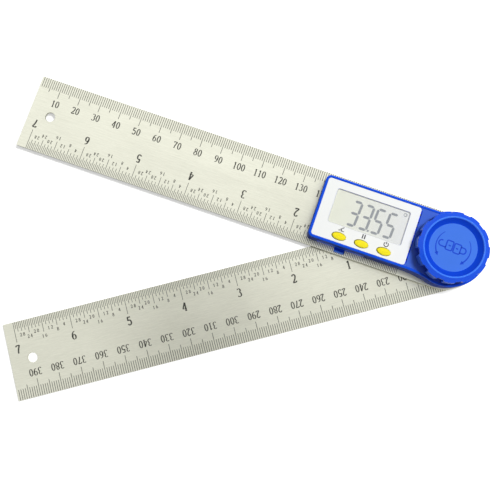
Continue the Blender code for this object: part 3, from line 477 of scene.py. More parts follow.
def brushed(name, angle, colour=STEEL, roughness=0.36):
    """Steel whose tone is a sum of long streaks, fine streaks and slow clouds."""
    finish = Finish(name, colour, roughness, 1.0, Anisotropic=0.3)
    coarse = streaks(finish, angle, 24, 7 * MM, 4.0)
    fine = streaks(finish, angle, 10, 1.6 * MM, 3.0)
    cloud = streaks(finish, angle, 2, 45 * MM, 1.0)
    tone = coarse * 0.45 + fine * 0.3 + cloud * 0.25
    finish.set("Base Color", finish.tinted(tone, colour, 0.36))
    finish.set("Roughness", roughness - 0.05 + tone * 0.1)
    finish.relief(coarse * 0.7 + fine * 0.3, SCRATCH_DEPTH)
    return finish.material


def ringed(name, colour, roughness, centre=(0, 0), ring=0.16 * MM):
    """Turned metal: rings of a given spacing round an upright axis."""
    finish = Finish(name, colour, roughness, 1.0)
    rings = finish.radius(centre).wave(ring) * 0.5 + 0.5
    cloud = finish.noise(finish.place(), 3 * MM)
    finish.set("Base Color", finish.tinted(rings * 0.5 + cloud * 0.5, colour, 0.12))
    finish.set("Roughness", roughness + cloud * 0.1)
    finish.relief(rings, SCRATCH_DEPTH)
    return finish.material


upper_steel = brushed("rule_steel_upper", 0.0)
lower_steel = brushed("rule_steel_lower", OPENING)
# Side faces of the rules: sheared steel, partly painted shade.
cut_edge_and_painted_shade = brushed("cut_edge_painted_shade", 0.0, CUT_EDGE_AND_SHADE_STEEL, 0.55)
turned_steel = ringed("turned_steel", (0.36, 0.36, 0.37), 0.30)
spring_steel = brushed("spring_steel", 0.0, (0.55, 0.53, 0.48), 0.30)
brass = ringed("insert_brass", (0.70, 0.50, 0.20), 0.30)
print("steel finishes:", [m.name for m in (upper_steel, lower_steel, turned_steel)])

# %% [markdown]
# ## Moulded plastics
# A glossy moulding is almost smooth, with a very faint waviness. The flats that carry
# print or symbols are spark-eroded in the mould, which gives a fine sandy texture.
# Both are one function with other numbers, and so are foam, print and ink. Some blues
# are painted light: the paler flats carry a painted sheen, the lip a painted highlight,
# the lug faces a painted reflection, and the walls, dish sides and dish symbols a painted shade.

# %% Plastic, foam and print
def moulded(name, colour, roughness, grain, depth, share=0.05, specular=0.5):
    """A sandy or wavy skin whose grains have a size and a depth in millimetres."""
    finish = Finish(name, colour, roughness, Specular_IOR_Level=specular)
    here = finish.place()
    skin = finish.noise(here, grain * MM, 3.0)
    cloud = finish.noise(here, 14 * MM, 1.0)
    finish.set("Base Color", finish.tinted(skin * 0.4 + cloud * 0.6, colour, share))
    finish.set("Roughness", roughness - 0.04 + skin * 0.08)
    finish.relief(skin, depth * MM)
    return finish.material


housing_gloss = moulded("housing_blue", (0.005, 0.085, 0.78), 0.34, 1.4, 0.004, specular=0.15)
# The walls: the housing's blue darkened as painted shade.
wall_painted_shade = moulded("housing_wall_painted_shade", (0.008, 0.034, 0.26), 0.5, 0.3, 0.006, specular=0.03)
# The pocket flat: a sandy satin skin whose paler blue is a painted sheen.
housing_satin_painted_sheen = moulded("housing_blue_satin_painted_sheen", (0.045, 0.125, 0.60), 0.50, 0.16, 0.008, 0.08)
knob_gloss = moulded("knob_blue", (0.006, 0.085, 0.78), 0.30, 1.2, 0.003, specular=0.35)
# The lugs' outer faces: the knob's blue made paler as a painted reflection.
lug_painted_reflection = moulded("knob_lugs_painted_reflection", (0.035, 0.125, 0.62), 0.30, 1.2, 0.002)
# The lips: a lighter blue that is a painted highlight.
lip_painted_highlight = moulded("knob_lip_painted_highlight", (0.035, 0.20, 0.95), 0.25, 1.2, 0.002)
# The dish side: the knob's blue darkened as painted shade in the recess.
dish_side_painted_shade = moulded("knob_dish_wall_painted_shade", (0.004, 0.062, 0.68), 0.4, 1.2, 0.002, specular=0.1)
# The dish floor: a sandy satin skin whose paler blue is a painted sheen.
dish_satin_painted_sheen = moulded("knob_blue_satin_painted_sheen", (0.050, 0.185, 0.78), 0.50, 0.16, 0.008, 0.08)
# The dish symbols: a deeper blue that is painted shade, standing for cut lines.
engraving_painted_shade = moulded("knob_engraving_painted_shade", (0.006, 0.060, 0.60), 0.55, 0.2, 0.004)
label_white = moulded("label_white", (0.93, 0.945, 0.93), 0.32, 0.3, 0.003, 0.015)
key_yellow = moulded("key_yellow", (0.97, 0.83, 0.012), 0.45, 0.22, 0.004, 0.04)
print_black = moulded("print_black", (0.045, 0.045, 0.05), 0.45, 0.2, 0.001, 0.2)
scale_ink = moulded("scale_ink", (0.06, 0.06, 0.05), 0.55, 0.25, 0.001, 0.35)
frame_white = moulded("frame_white", (0.72, 0.72, 0.70), 0.50, 0.3, 0.004)
foam = moulded("gasket_foam", (0.66, 0.68, 0.66), 0.8, 0.1, 0.01)
nylon = moulded("nylon_white", (0.78, 0.77, 0.72), 0.42, 0.5, 0.004)
resin = moulded("resin_black", (0.012, 0.012, 0.013), 0.30, 1.0, 0.02, 0.2)
display_ink = moulded("display_ink", (0.24, 0.26, 0.28), 0.40, 0.3, 0.001, 0.08)
print("mouldings:", [m.name for m in (housing_gloss, housing_satin_painted_sheen, knob_gloss, dish_satin_painted_sheen)])

# %% [markdown]
# ## Display glass, lens, board and other inner finishes
# A reflective display is a pale grey-green that is a little warmer at one end. Its lens
# is a clear sheet, which Alpha renders without darkening what lies under it. The
# circuit board shows copper runs under its green mask, the contact strip is striped
# with conducting layers, and the sensor's rotor has a ring of copper pads.

# %% Colours and spacings of the inner finishes
GREEN_MASK = (0.02, 0.18, 0.07)
BARE_GREEN = (0.012, 0.13, 0.05)
RUN_GREEN = (0.035, 0.26, 0.10)
COPPER = (0.60, 0.42, 0.16)
RUN_PITCH = 1.0 * MM
LAYER_PITCH = 0.36 * MM
PADS = 24
PAD_INNER_R = 8 * MM
PAD_OUTER_R = 12.4 * MM
print("board runs every", RUN_PITCH / MM, "mm, rotor pads:", PADS)


# %% Display and lens
def display_finish():
    """Reflective display: warm at one end and cool at the other, with a fine matt grain."""
    finish = Finish("display_glass", (0.70, 0.72, 0.62), 0.30)
    low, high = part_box("lcd_glass")
    share = (finish.axis("X") - low.x) / (high.x - low.x)
    grain = finish.noise(finish.place(), 0.12 * MM)
    mixed = finish.blend(share + (grain - 0.5) * 0.2, (0.83, 0.845, 0.70), (0.80, 0.81, 0.80))
    finish.set("Base Color", mixed)
    finish.set("Roughness", 0.28 + grain * 0.1)
    return finish.material


def lens_finish():
    """Clear sheet: mostly see-through, with a gloss and the faintest haze."""
    finish = Finish("lens_clear", (0.93, 0.95, 0.95), 0.06)
    haze = finish.noise(finish.place(), 6 * MM)
    finish.set("Alpha", 0.05 + haze * 0.04)
    finish.set("Roughness", 0.05 + haze * 0.05)
    return finish.material


print("display:", display_finish.__doc__)
print("lens:", lens_finish.__doc__)


# %% Board, contact strip, rotor and bush
def board_finish():
    """Green solder mask over copper runs: bands of two directions, broken by noise."""
    finish = Finish("board_green", GREEN_MASK, 0.35)
    patch = finish.noise(finish.place(), 5 * MM, 0.0) > 0.5
    along_y = finish.axis("X").wave(RUN_PITCH) > 0.4
    along_x = finish.axis("Y").wave(RUN_PITCH) > 0.4
    runs = along_y * patch + along_x * (1 - patch)
    finish.set("Base Color", finish.blend(runs, BARE_GREEN, RUN_GREEN))
    finish.set("Roughness", 0.38 - runs * 0.08)
    finish.relief(runs, 0.02 * MM)
    return finish.material


def strip_finish():
    """Contact strip: dark and pale rubber layers across its length."""
    finish = Finish("strip_grey", (0.16, 0.16, 0.17), 0.65)
    layer = finish.axis("X").wave(LAYER_PITCH) > 0.0
    finish.set("Base Color", finish.blend(layer, (0.03, 0.03, 0.03), (0.55, 0.55, 0.52)))
    return finish.material


def rotor_finish():
    """Sensor disc: a ring of copper pads under green mask, spaced evenly in angle."""
    finish = Finish("rotor_green", GREEN_MASK, 0.35)
    radius = finish.radius()
    y = finish.axis("Y")
    pads = y.maths("ARCTAN2", y, finish.axis("X")).wave(TURN / PADS) > 0.0
    ring = (radius > PAD_INNER_R) * (1 - (radius > PAD_OUTER_R))
    copper = pads * ring
    finish.set("Base Color", finish.blend(copper, BARE_GREEN, COPPER))
    finish.set("Metallic", copper)
    return finish.material


def bronze_finish():
    """Sintered bronze: small dark pores in a warm metal."""
    finish = Finish("bush_bronze", (0.50, 0.33, 0.14), 0.40, 1.0)
    pores = finish.noise(finish.place(), 0.2 * MM, 2.0) > 0.62
    finish.set("Base Color", finish.blend(pores, (0.52, 0.34, 0.15), (0.20, 0.12, 0.05)))
    finish.relief(1 - pores, 0.02 * MM)
    return finish.material


print("inner patterns:", [f.__name__ for f in (board_finish, strip_finish, rotor_finish)])

# %% Finishes on the inner nodes
inner_finishes = {
    "lcd_glass": display_finish(), "lcd_lens": lens_finish(), "circuit_board": board_finish(),
    "contact_strip": strip_finish(), "rotor_disc": rotor_finish(), "pivot_bush": bronze_finish(),
    "lcd_frame": frame_white, "chip_cover": resin, "pivot_hub": turned_steel,
    "knob_insert": brass, "retaining_clip": spring_steel,
}
for node in ("contact_top", "contact_side", "switch_left", "switch_middle", "switch_right"):
    inner_finishes[node] = spring_steel
for index in (1, 2, 3):
    inner_finishes[f"board_screw_{index}"] = turned_steel
for node, material in inner_finishes.items():
    slots = frame["nodes"][node].material_slots
    if not slots:
        frame["nodes"][node].data.materials.append(material)
    for entry in slots:
        entry.material = material
print("finished inner nodes:", len(inner_finishes))

# %% [markdown]
# ## The two steel rules
# Each rule is a punched strip 1.2 mm thick: one square end with a hanging hole, and a
# round end about the pivot. A plain extrusion would do for the form, but the strip's
# barrelled edge is what shows in the light, so its rims are rolled off by a few
# hundredths of a millimetre. Holes are cut with turned cutters that leave a chamfer.

# %% Sizes of the rules and their screws
rule_low, rule_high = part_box("upper_rule")
RULE_HALF = rule_high.y
RULE_REACH = -rule_low.x
RULE_CORNER = 0.4 * MM
RULE_EDGE = 0.09 * MM
HANG_HOLE = 2.2 * MM
HANG_X = -RULE_REACH + 10 * MM
BUSH_HOLE = 7.65 * MM
CHAMFER = 0.12 * MM
CUTTER_REACH = 1.0 * MM
SCREW_HEAD = 1.5 * MM
SCREW_SHANK = 0.7 * MM
SCREW_HEAD_HEIGHT = 0.7 * MM
SCREW_SINK = 0.1 * MM
HEAD_GAP = 0.2 * MM
housing_screws = [f"housing_screw_{index}" for index in range(1, 5)]
hub_screws = [f"hub_screw_{index}" for index in range(1, 4)]
print("rule", RULE_REACH / MM, "x", 2 * RULE_HALF / MM, "mm")


# %% Rule outline and the cutters of its holes
def rule_line(inset):
    """A strip whose right end is a half circle about the pivot."""
    half = RULE_HALF - inset
    reach = RULE_REACH - inset
    corner = RULE_CORNER - inset
    return np.concatenate((
        arc((0, 0), half, -QUARTER, QUARTER, 120),
        arc((-reach + corner, half - corner), corner, QUARTER, 2 * QUARTER, 5),
        arc((-reach + corner, -half + corner), corner, 2 * QUARTER, 3 * QUARTER, 5),
    ))


def hole_cutter(centre, radius, low, high, steps=64):
    """A turned cutter whose ends flare by the chamfer at both faces of a plate."""
    wide = radius + CHAMFER
    profile = [(0, low - CUTTER_REACH), (wide, low - CUTTER_REACH), (wide, low),
               (radius, low + CHAMFER), (radius, high - CHAMFER), (wide, high),
               (wide, high + CUTTER_REACH), (0, high + CUTTER_REACH)]
    return turned(profile, steps, centre)


def seat_cutter(centre, low, high):
    """A turned cutter for a flush screw's head, open at the underside."""
    wide = SCREW_HEAD + HEAD_GAP
    narrow = SCREW_SHANK + HEAD_GAP
    profile = [(0, low - CUTTER_REACH), (wide, low - CUTTER_REACH), (wide, low + SCREW_SINK),
               (narrow, low + SCREW_SINK + SCREW_HEAD_HEIGHT), (narrow, high + CUTTER_REACH),
               (0, high + CUTTER_REACH)]
    return turned(profile, 48, centre)


def centre_of(node):
    """Where a node's middle lies in plan."""
    low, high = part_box(node)
    return (low.x + high.x) / 2, (low.y + high.y) / 2


print("rule outline:", len(rule_line(0)), "points")


# %% Both rules
def make_rule(arm, angle, steel, screws, bore=None):
    """A rule at its angle, with its hanging hole, its bore and the seats of its screws."""
    low, high = (corner.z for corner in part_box(f"{arm}_rule"))
    shell = turned_about(plate(rule_line, low, high, RULE_EDGE, RULE_EDGE, 1), angle)
    rule = make_object(f"{arm}_rule_strip", [shell], [steel, cut_edge_and_painted_shade])
    hang = (HANG_X * math.cos(angle), HANG_X * math.sin(angle))
    carve(rule, hole_cutter(hang, HANG_HOLE, low, high))
    if bore:
        carve(rule, hole_cutter((0, 0), bore, low, high, 128))
    carve(rule, *(seat_cutter(centre_of(node), low, high) for node in screws))
    settle(rule, f"{arm}_arm", "rule_steel", f"{arm}_rule")


make_rule("upper", 0.0, upper_steel, housing_screws, BUSH_HOLE)
make_rule("lower", OPENING, lower_steel, hub_screws)

# %% [markdown]
# ## Numerals drawn with a broad nib
# The numbers on the scales are slim engraver's figures: thick upright strokes and thin
# level ones. A font file would bring its own rights and shapes, so each figure is a few
# arcs and lines in a box one unit high. A ribbon follows them, and its width depends on
# the direction of travel, as it does for a nib. The long level strokes of 2, 5 and 7
# are made a little heavier, as an engraver makes them.

# %% Strokes of the ten figures
FIGURE_WIDTH = 0.5
THICK = 0.150
THIN = 0.066
SPACING = 0.60
BARRED = "257"
BAR_SHARE = 1.7


def bow(cx, cy, rx, ry, start, end, steps=14):
    """Part of an ellipse as stroke points, angles in degrees."""
    angle = np.radians(np.linspace(start, end, steps + 1))
    return np.stack((cx + rx * np.cos(angle), cy + ry * np.sin(angle)), 1)


def line(*points):
    """Straight stroke through points."""
    return np.array(points, float)


def curve(start, pull, end, steps=8):
    """Quadratic curve: (1-t)^2 start + 2t(1-t) pull + t^2 end."""
    t = np.linspace(0, 1, steps + 1)[:, None]
    start, pull, end = (np.array(point, float) for point in (start, pull, end))
    return (1 - t) ** 2 * start + 2 * t * (1 - t) * pull + t ** 2 * end


FIGURES = {
    "0": [bow(0.25, 0.5, 0.19, 0.46, 0, 360, 22)],
    "1": [line((0.27, 0.03), (0.27, 0.96)), curve((0.27, 0.95), (0.22, 0.82), (0.10, 0.80), 4),
          line((0.13, 0.02), (0.41, 0.02))],
    "2": [bow(0.245, 0.74, 0.185, 0.22, 165, -25, 14),
          curve((0.41, 0.66), (0.34, 0.36), (0.06, 0.05)),
          line((0.06, 0.04), (0.42, 0.04)), curve((0.42, 0.04), (0.45, 0.08), (0.46, 0.19), 4)],
    "3": [bow(0.22, 0.755, 0.175, 0.205, 150, -80), bow(0.22, 0.285, 0.205, 0.255, 82, -150, 16)],
    "4": [line((0.33, 0.97), (0.03, 0.27)), line((0.03, 0.26), (0.48, 0.26)),
          line((0.345, 0.96), (0.345, 0.03)), line((0.22, 0.02), (0.46, 0.02))],
    "5": [line((0.10, 0.96), (0.085, 0.54)), line((0.10, 0.94), (0.42, 0.94)),
          bow(0.225, 0.315, 0.205, 0.285, 130, -150, 18)],
    "6": [bow(0.25, 0.30, 0.185, 0.27, 0, 360, 20),
          curve((0.40, 0.93), (0.07, 0.92), (0.065, 0.33), 9)],
    "7": [line((0.05, 0.94), (0.46, 0.94)), curve((0.45, 0.93), (0.22, 0.52), (0.20, 0.03)),
          line((0.05, 0.94), (0.05, 0.80))],
    "8": [bow(0.25, 0.75, 0.155, 0.21, 0, 360, 18), bow(0.25, 0.275, 0.195, 0.245, 0, 360, 20)],
    "9": [bow(0.25, 0.70, 0.185, 0.27, 0, 360, 20),
          curve((0.10, 0.07), (0.43, 0.08), (0.435, 0.67), 9)],
}
print("figures drawn:", "".join(sorted(FIGURES)))


# %% A ribbon along a stroke
def directions(path):
    """Unit vectors along a path, from the differences of its points."""
    along = np.gradient(np.asarray(path, float), axis=0)
    return along / np.linalg.norm(along, axis=1)[:, None]


def ribbon(path, widths, low, high):
    """A thin bar of four-sided section along a path in plan.

    Each point is moved to both sides along the path's normal by half of its width.
    """
    path = np.asarray(path, float)
    along = directions(path)
    side = np.stack((-along[:, 1], along[:, 0]), 1) * np.asarray(widths)[:, None] / 2
    left, right = path + side, path - side
    rows = (raised(left, low), raised(right, low), raised(right, high), raised(left, high))
    return grid(np.stack(rows, axis=1), capped=True, smooth=False)


def nib(path, thick, thin):
    """Width of a stroke: thin on the level, thick upright."""
    return thin + (thick - thin) * np.abs(directions(path)[:, 1]) ** 1.5


def lettered(text, centre, height, facing, low, high, bold=1.0, spacing=SPACING):
    """Figures in a row about a centre; facing is +1 upright and -1 upside down."""
    shells = []
    advance = spacing * height
    start = -advance * (len(text) - 1) / 2
    for index, figure in enumerate(text):
        level = THIN * (BAR_SHARE if figure in BARRED else 1.0)
        for path in FIGURES[figure]:
            x = (path[:, 0] - FIGURE_WIDTH / 2) * height + start + index * advance
            y = (path[:, 1] - 0.5) * height
            placed = np.stack((x, y), 1) * facing + np.asarray(centre)
            widths = nib(path, THICK * bold, level * bold) * height
            shells.append(ribbon(placed, widths, low, high))
    return shells


for kind, tip in (("level", (1, 0)), ("upright", (0, 1))):
    print(kind, "stroke:", round(float(nib(line((0, 0), tip), THICK, THIN)[0]), 3), "of the height")

# %% [markdown]
# ## The etched scales
# The outer edges count millimetres, from 0 at the upper rule's end to 400 at the lower
# one's, and the inner edges count inches in thirty-seconds from near the pivot. Etching
# filled with ink is a few microns of relief. Bars that stand a hundredth of a
# millimetre proud show the same and stay crisp at any distance.

# %% Sizes of the scales
INK = 0.012 * MM
TICK_START = 0.12 * MM
INCH = 25.4 * MM
INCH_START = 17.58 * MM
INCHES = 7
PARTS = 32
NUMBERED_PARTS = 4
MM_TICKS = 200
MM_TICK_LENGTHS = {1: 4.7 * MM, 5: 6.2 * MM, 10: 7.8 * MM}
INCH_TICK_LENGTHS = {1: 3.1 * MM, 2: 4.4 * MM, 8: 5.9 * MM, 16: 7.35 * MM, 32: 9.05 * MM}
TICK_WIDTH = 0.25 * MM
FINE_TICK_WIDTH = 0.22 * MM
MM_FIGURES = 3.3 * MM
MM_FIGURE_LINE = 6.5 * MM
INCH_FIGURES = 3.9 * MM
INCH_FIGURE_GAP = 1.18 * MM
SMALL_FIGURES = 1.55 * MM
SMALL_FIGURE_GAP = 0.95 * MM
SMALL_SPACING = 0.93
INCH_BOLD = 1.15
print("millimetre ticks:", MM_TICKS, "inch ticks:", INCHES * PARTS)


# %% Ticks and their numbers
def tick_lengths(numbers, lengths):
    """The length of each tick: that of the largest step which divides its number."""
    return np.array([lengths[max(step for step in lengths if number % step == 0)]
                     for number in numbers.tolist()])


def ticks(places, lengths, width, edge, low, high):
    """Upright bars that start at an edge of the rule and run inwards."""
    shells = []
    sign = math.copysign(1, edge)
    for place, length in zip(places, lengths):
        start = edge - sign * TICK_START
        path = np.array(((place, start), (place, start - sign * length)))
        shells.append(ribbon(path, (width, width), low, high))
    return shells


def mm_scale(low, high, facing, reading_at_end):
    """The millimetre scale, drawn as if the rule lay along -X. facing +1 counts up from 0."""
    numbers = np.arange(0, MM_TICKS + 1)
    lengths = tick_lengths(numbers, MM_TICK_LENGTHS)
    places = -RULE_REACH + numbers * MM
    inside = places > -RULE_REACH + TICK_WIDTH
    shells = ticks(places[inside], lengths[inside], TICK_WIDTH, facing * RULE_HALF, low, high)
    for tens in range(10, MM_TICKS, 10):
        reading = str(abs(reading_at_end - tens))
        centre = (-RULE_REACH + tens * MM, facing * MM_FIGURE_LINE)
        shells += lettered(reading, centre, MM_FIGURES, facing, low, high)
    return shells


def inch_scale(low, high, facing):
    """The inch scale on the other edge: large numbers at inches, small ones between."""
    counts = np.arange(0, INCHES * PARTS + 1)
    lengths = tick_lengths(counts, INCH_TICK_LENGTHS)
    places = -INCH_START - counts * INCH / PARTS
    shells = ticks(places, lengths, FINE_TICK_WIDTH, -facing * RULE_HALF, low, high)
    for count, place, length in zip(counts.tolist(), places, lengths):
        if count % NUMBERED_PARTS:
            continue
        inches, parts = divmod(count, PARTS)
        size, gap, spacing = (SMALL_FIGURES, SMALL_FIGURE_GAP, SMALL_SPACING) if parts else (
            INCH_FIGURES, INCH_FIGURE_GAP, SPACING)
        y = RULE_HALF - TICK_START - length - gap - size / 2
        shells += lettered(str(parts or inches), (place, -facing * y), size, -facing, low, high,
                           INCH_BOLD, spacing)
    return shells


print("ticks of 0 to 5 mm:", (tick_lengths(np.arange(6), MM_TICK_LENGTHS) / MM).round(2))

# %% The scales of both rules
for arm, angle, facing, end in (("upper", 0.0, 1, 0), ("lower", OPENING, -1, 400)):
    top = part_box(f"{arm}_rule")[1].z
    shells = mm_scale(top, top + INK, facing, end) + inch_scale(top, top + INK, facing)
    shells = [turned_about(shell, angle) for shell in shells]
    settle(make_object(f"{arm}_rule_marks", shells, [scale_ink]), f"{arm}_arm", "rule_steel")

# %% [markdown]
# ## The housing
# A moulded shell: upright walls, a rounded rim that stands above a sunken flat, and
# openings for the window, the keys, the stud and the battery tray. One closed line in
# plan, moved inwards step by step, gives wall, rim, pocket and cavity in a single
# grid, so every fillet stays parallel to the outline.

# %% Sizes of the housing
shell_low, shell_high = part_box("housing_shell")
label_low, label_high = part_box("front_label")
lens_low, lens_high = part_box("lcd_lens")
HOUSING_REACH = -shell_low.x
END_RADIUS = shell_high.x
WALL = 1.4 * MM
RIM = 1.1 * MM
LABEL_PLAY = 0.15 * MM
HALF_HOUSING = label_high.y + LABEL_PLAY + RIM
HOUSING_CORNER = 2.4 * MM
FLARE = 45 * MM
POCKET_FLOOR = lens_high.z
FLOOR_THICKNESS = 1.1 * MM
CAVITY_TOP = POCKET_FLOOR - FLOOR_THICKNESS
RIM_OUTER_EDGE = 0.68 * MM
RIM_INNER_EDGE = 0.25 * MM
FOOT_EDGE = 0.15 * MM
print("housing half width", round(HALF_HOUSING / MM, 2), "end radius", round(END_RADIUS / MM, 2))


# %% Outline of the housing
def housing_line(inset):
    """Straight upper side, square end, and a lower side that flares into the round end."""
    half = HALF_HOUSING - inset
    reach = HOUSING_REACH - inset
    end = END_RADIUS - inset
    corner = HOUSING_CORNER - inset
    flare = FLARE + inset
    flare_y = -(half + flare)
    flare_x = -math.sqrt((end + flare) ** 2 - flare_y ** 2)
    towards = math.atan2(-flare_y, -flare_x)
    upper_side = math.pi - math.asin(half / end)
    return np.concatenate((
        arc((-reach + corner, half - corner), corner, QUARTER, 2 * QUARTER, 14),
        arc((-reach + corner, -half + corner), corner, 2 * QUARTER, 3 * QUARTER, 14),
        arc((flare_x, flare_y), flare, QUARTER, towards, 28),
        arc((0, 0), end, towards - math.pi, upper_side, 130)[1:],
    ))


print("housing outline:", len(housing_line(0)), "points")

# %% Wall, rim and pocket in one grid
def housing_rows():
    """(inset, height) rows from the cavity's ceiling, round the wall, to the pocket floor."""
    foot = shell_low.z
    top = shell_high.z
    outer_inset, outer_drop = rim(RIM_OUTER_EDGE, 6)
    inner_inset, inner_drop = rim(RIM_INNER_EDGE, 4)
    rows = [(WALL, CAVITY_TOP), (WALL, foot), (FOOT_EDGE, foot), (0.0, foot + FOOT_EDGE)]
    rows += [(i, top - d) for i, d in zip(outer_inset[::-1], outer_drop[::-1])]
    rows += [(RIM - i, top - d) for i, d in zip(inner_inset, inner_drop)]
    rows += [(RIM + i, POCKET_FLOOR + d) for i, d in zip(inner_drop[::-1], inner_inset[::-1])]
    return rows


# The first four steps make the inner wall, the foot and the outer wall, whose darker blue is painted
# shade. The last three and the two caps make the satin pocket, whose paler blue is partly a painted
# sheen, and the ceiling under it. The rim lies between.
WALL_STEPS = 4
POCKET_STEPS = 3
GLOSS, SATIN_PAINTED_SHEEN, PAINTED_SHADE_WALL = range(3)
rings = [raised(housing_line(inset), height) for inset, height in housing_rows()]
points, faces, flags = grid(np.array(rings), capped=True)[:3]
wall_faces = WALL_STEPS * len(rings[0])
pocket_faces = POCKET_STEPS * len(rings[0]) + 2
rim_faces = len(faces) - wall_faces - pocket_faces
# The walls take the blue with painted shade, and the pocket the paler blue with painted sheen.
slots = [PAINTED_SHADE_WALL] * wall_faces + [GLOSS] * rim_faces + [SATIN_PAINTED_SHEEN] * pocket_faces
housing = make_object("housing_moulding", [(points, faces, flags, slots)],
                      [housing_gloss, housing_satin_painted_sheen, wall_painted_shade])
print("housing shell:", len(faces), "faces,", rim_faces, "of them on the rim")

# %% Sizes of the openings
KEY_LENGTH = 6.2 * MM
KEY_WIDTH = 3.2 * MM
KEY_GAP = 0.25 * MM
KEY_HOLE_GAP = 0.38 * MM
STUD_HOLE = 3.2 * MM
OVER = 0.8 * MM
WINDOW_CORNER = 1.0 * MM
GROOVE_WIDTH = 0.62 * MM
GROOVE_DEPTH = 0.7 * MM
GROOVE_ENDS = 1.2 * MM
GROOVE_LAP = 0.04 * MM
window_length = lens_high.x - lens_low.x + 2 * KEY_GAP
window_width = lens_high.y - lens_low.y + 2 * KEY_GAP
window_line = box_line(centre_of("lcd_lens"), window_length, window_width, WINDOW_CORNER,
                       corner_share=0.5)
label_width = label_high.y - label_low.y
groove_line = rounded_box((label_high.x + GROOVE_WIDTH / 2 - GROOVE_LAP, 0.0), GROOVE_WIDTH,
                          label_width - 2 * GROOVE_ENDS, 0.1 * MM)
tray_low, tray_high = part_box("battery_tray")
tray_length = tray_high.x - tray_low.x
tray_x = (tray_low.x + tray_high.x) / 2
slot_line = rounded_box((tray_x, -HALF_HOUSING), tray_length + 2 * KEY_GAP, 2.3 * WALL, 0.2 * MM)
key_nodes = ("button_left", "button_middle", "button_right")
key_centres = [centre_of(node) for node in key_nodes]
floor_low, floor_high = CAVITY_TOP - OVER, POCKET_FLOOR + OVER
print("window", round(window_length / MM, 2), "x", round(window_width / MM, 2), "mm")


# %% Window, key holes, stud hole, label groove and tray slot
def ellipse(centre, length, width, steps=56):
    """Closed ellipse in plan."""
    angle = np.linspace(0, TURN, steps, endpoint=False)
    return np.stack((centre[0] + length / 2 * np.cos(angle),
                     centre[1] + width / 2 * np.sin(angle)), 1)


def key_line(centre, gap):
    """A key's outline, moved outwards by a gap."""
    return ellipse(centre, KEY_LENGTH + 2 * gap, KEY_WIDTH + 2 * gap)


carve(housing, prism(window_line(0), floor_low, floor_high))
carve(housing, *(prism(key_line(at, KEY_HOLE_GAP), floor_low, floor_high) for at in key_centres))
carve(housing, rod((0, 0), STUD_HOLE, floor_low, floor_high))
carve(housing, prism(groove_line, POCKET_FLOOR - GROOVE_DEPTH, floor_high))
carve(housing, prism(slot_line, shell_low.z - OVER, tray_high.z + KEY_GAP))
print("housing after its openings:", len(housing.data.polygons), "faces")

# %% Bosses inside the shell
FAR_BOSS = 1.6 * MM
NEAR_BOSS = 1.8 * MM
BOSS_HOLE = 0.8 * MM
BOARD_BOSS = 1.4 * MM
BOARD_BOSS_HOLE = 0.6 * MM
BOARD_GAP = 0.1 * MM
boss_top = CAVITY_TOP + 0.4 * MM
bosses = []
for node in housing_screws:
    outer = FAR_BOSS if centre_of(node)[0] < -HOUSING_REACH / 2 else NEAR_BOSS
    bosses.append(tube(centre_of(node), outer, BOSS_HOLE, shell_low.z, boss_top))
board_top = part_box("circuit_board")[1].z
for index in (1, 2, 3):
    centre = centre_of(f"board_screw_{index}")
    bosses.append(tube(centre, BOARD_BOSS, BOARD_BOSS_HOLE, board_top + BOARD_GAP, boss_top))
settle(make_object("housing_bosses", bosses, [housing_gloss]), "upper_arm", "housing_blue")
settle(housing, "upper_arm", "housing_blue", "housing_shell")

# %% [markdown]
# ## Face label and display
# The label is a thin satin sheet, die-cut with round corners, that lies in the pocket.
# Its key holes were punched a tenth of a millimetre off centre, so a dark crescent shows
# beside each key. Above each key it carries a small printed sign: an angle for the datum
# key, two bars for hold, and the usual ring and bar for power. The window in it opens
# onto the display, whose dark seven-bar figures sit on the glass under the clear lens.
# A picture could carry the print, but thin bars of ink stay crisp at any distance.

# %% Label sheet
LABEL_CORNER = 1.2 * MM
LABEL_EDGE = 0.06 * MM
LABEL_HOLE_GAP = 0.24 * MM
LABEL_SLIP = (-0.12 * MM, 0.04 * MM)
label_line = box_line(((label_low.x + label_high.x) / 2, 0.0), label_high.x - label_low.x,
                      label_width, LABEL_CORNER, 14)
label = make_object(
    "face_label", [plate(label_line, label_low.z, label_high.z, LABEL_EDGE, LABEL_EDGE)],
    [label_white])
sheet = label_low.z - OVER, label_high.z + OVER
carve(label, prism(window_line(0), *sheet))
for x, y in key_centres:
    slipped = (x + LABEL_SLIP[0], y + LABEL_SLIP[1])
    carve(label, prism(key_line(slipped, LABEL_HOLE_GAP), *sheet))
settle(label, "upper_arm", "label_white", "front_label")

# %% Gasket round the lens
GASKET_DROP = 0.05 * MM
gasket_top = lens_high.z - GASKET_DROP
gasket_rows = ((0.0, lens_low.z), (0.0, gasket_top), (KEY_GAP, gasket_top), (KEY_GAP, lens_low.z))
gasket_rings = [raised(window_line(inset), height) for inset, height in gasket_rows]
gasket = make_object("lens_gasket", [grid(np.array(gasket_rings), wrap_rows=True)], [foam])
settle(gasket, "upper_arm", "frame_white")

# %% Printed signs above the keys
SIGN = 2.0 * MM
SIGN_RISE = 3.45 * MM
SIGN_STROKE = 0.40 * MM
HOLD_STROKE = 0.52 * MM
print_low, print_high = label_high.z, label_high.z + INK


def stroke(path, centre, width=SIGN_STROKE, size=SIGN, low=print_low, high=print_high):
    """One even stroke of a sign, drawn in units of the sign's height."""
    path = np.asarray(path, float) * size + np.asarray(centre)
    return ribbon(path, np.full(len(path), width), low, high)


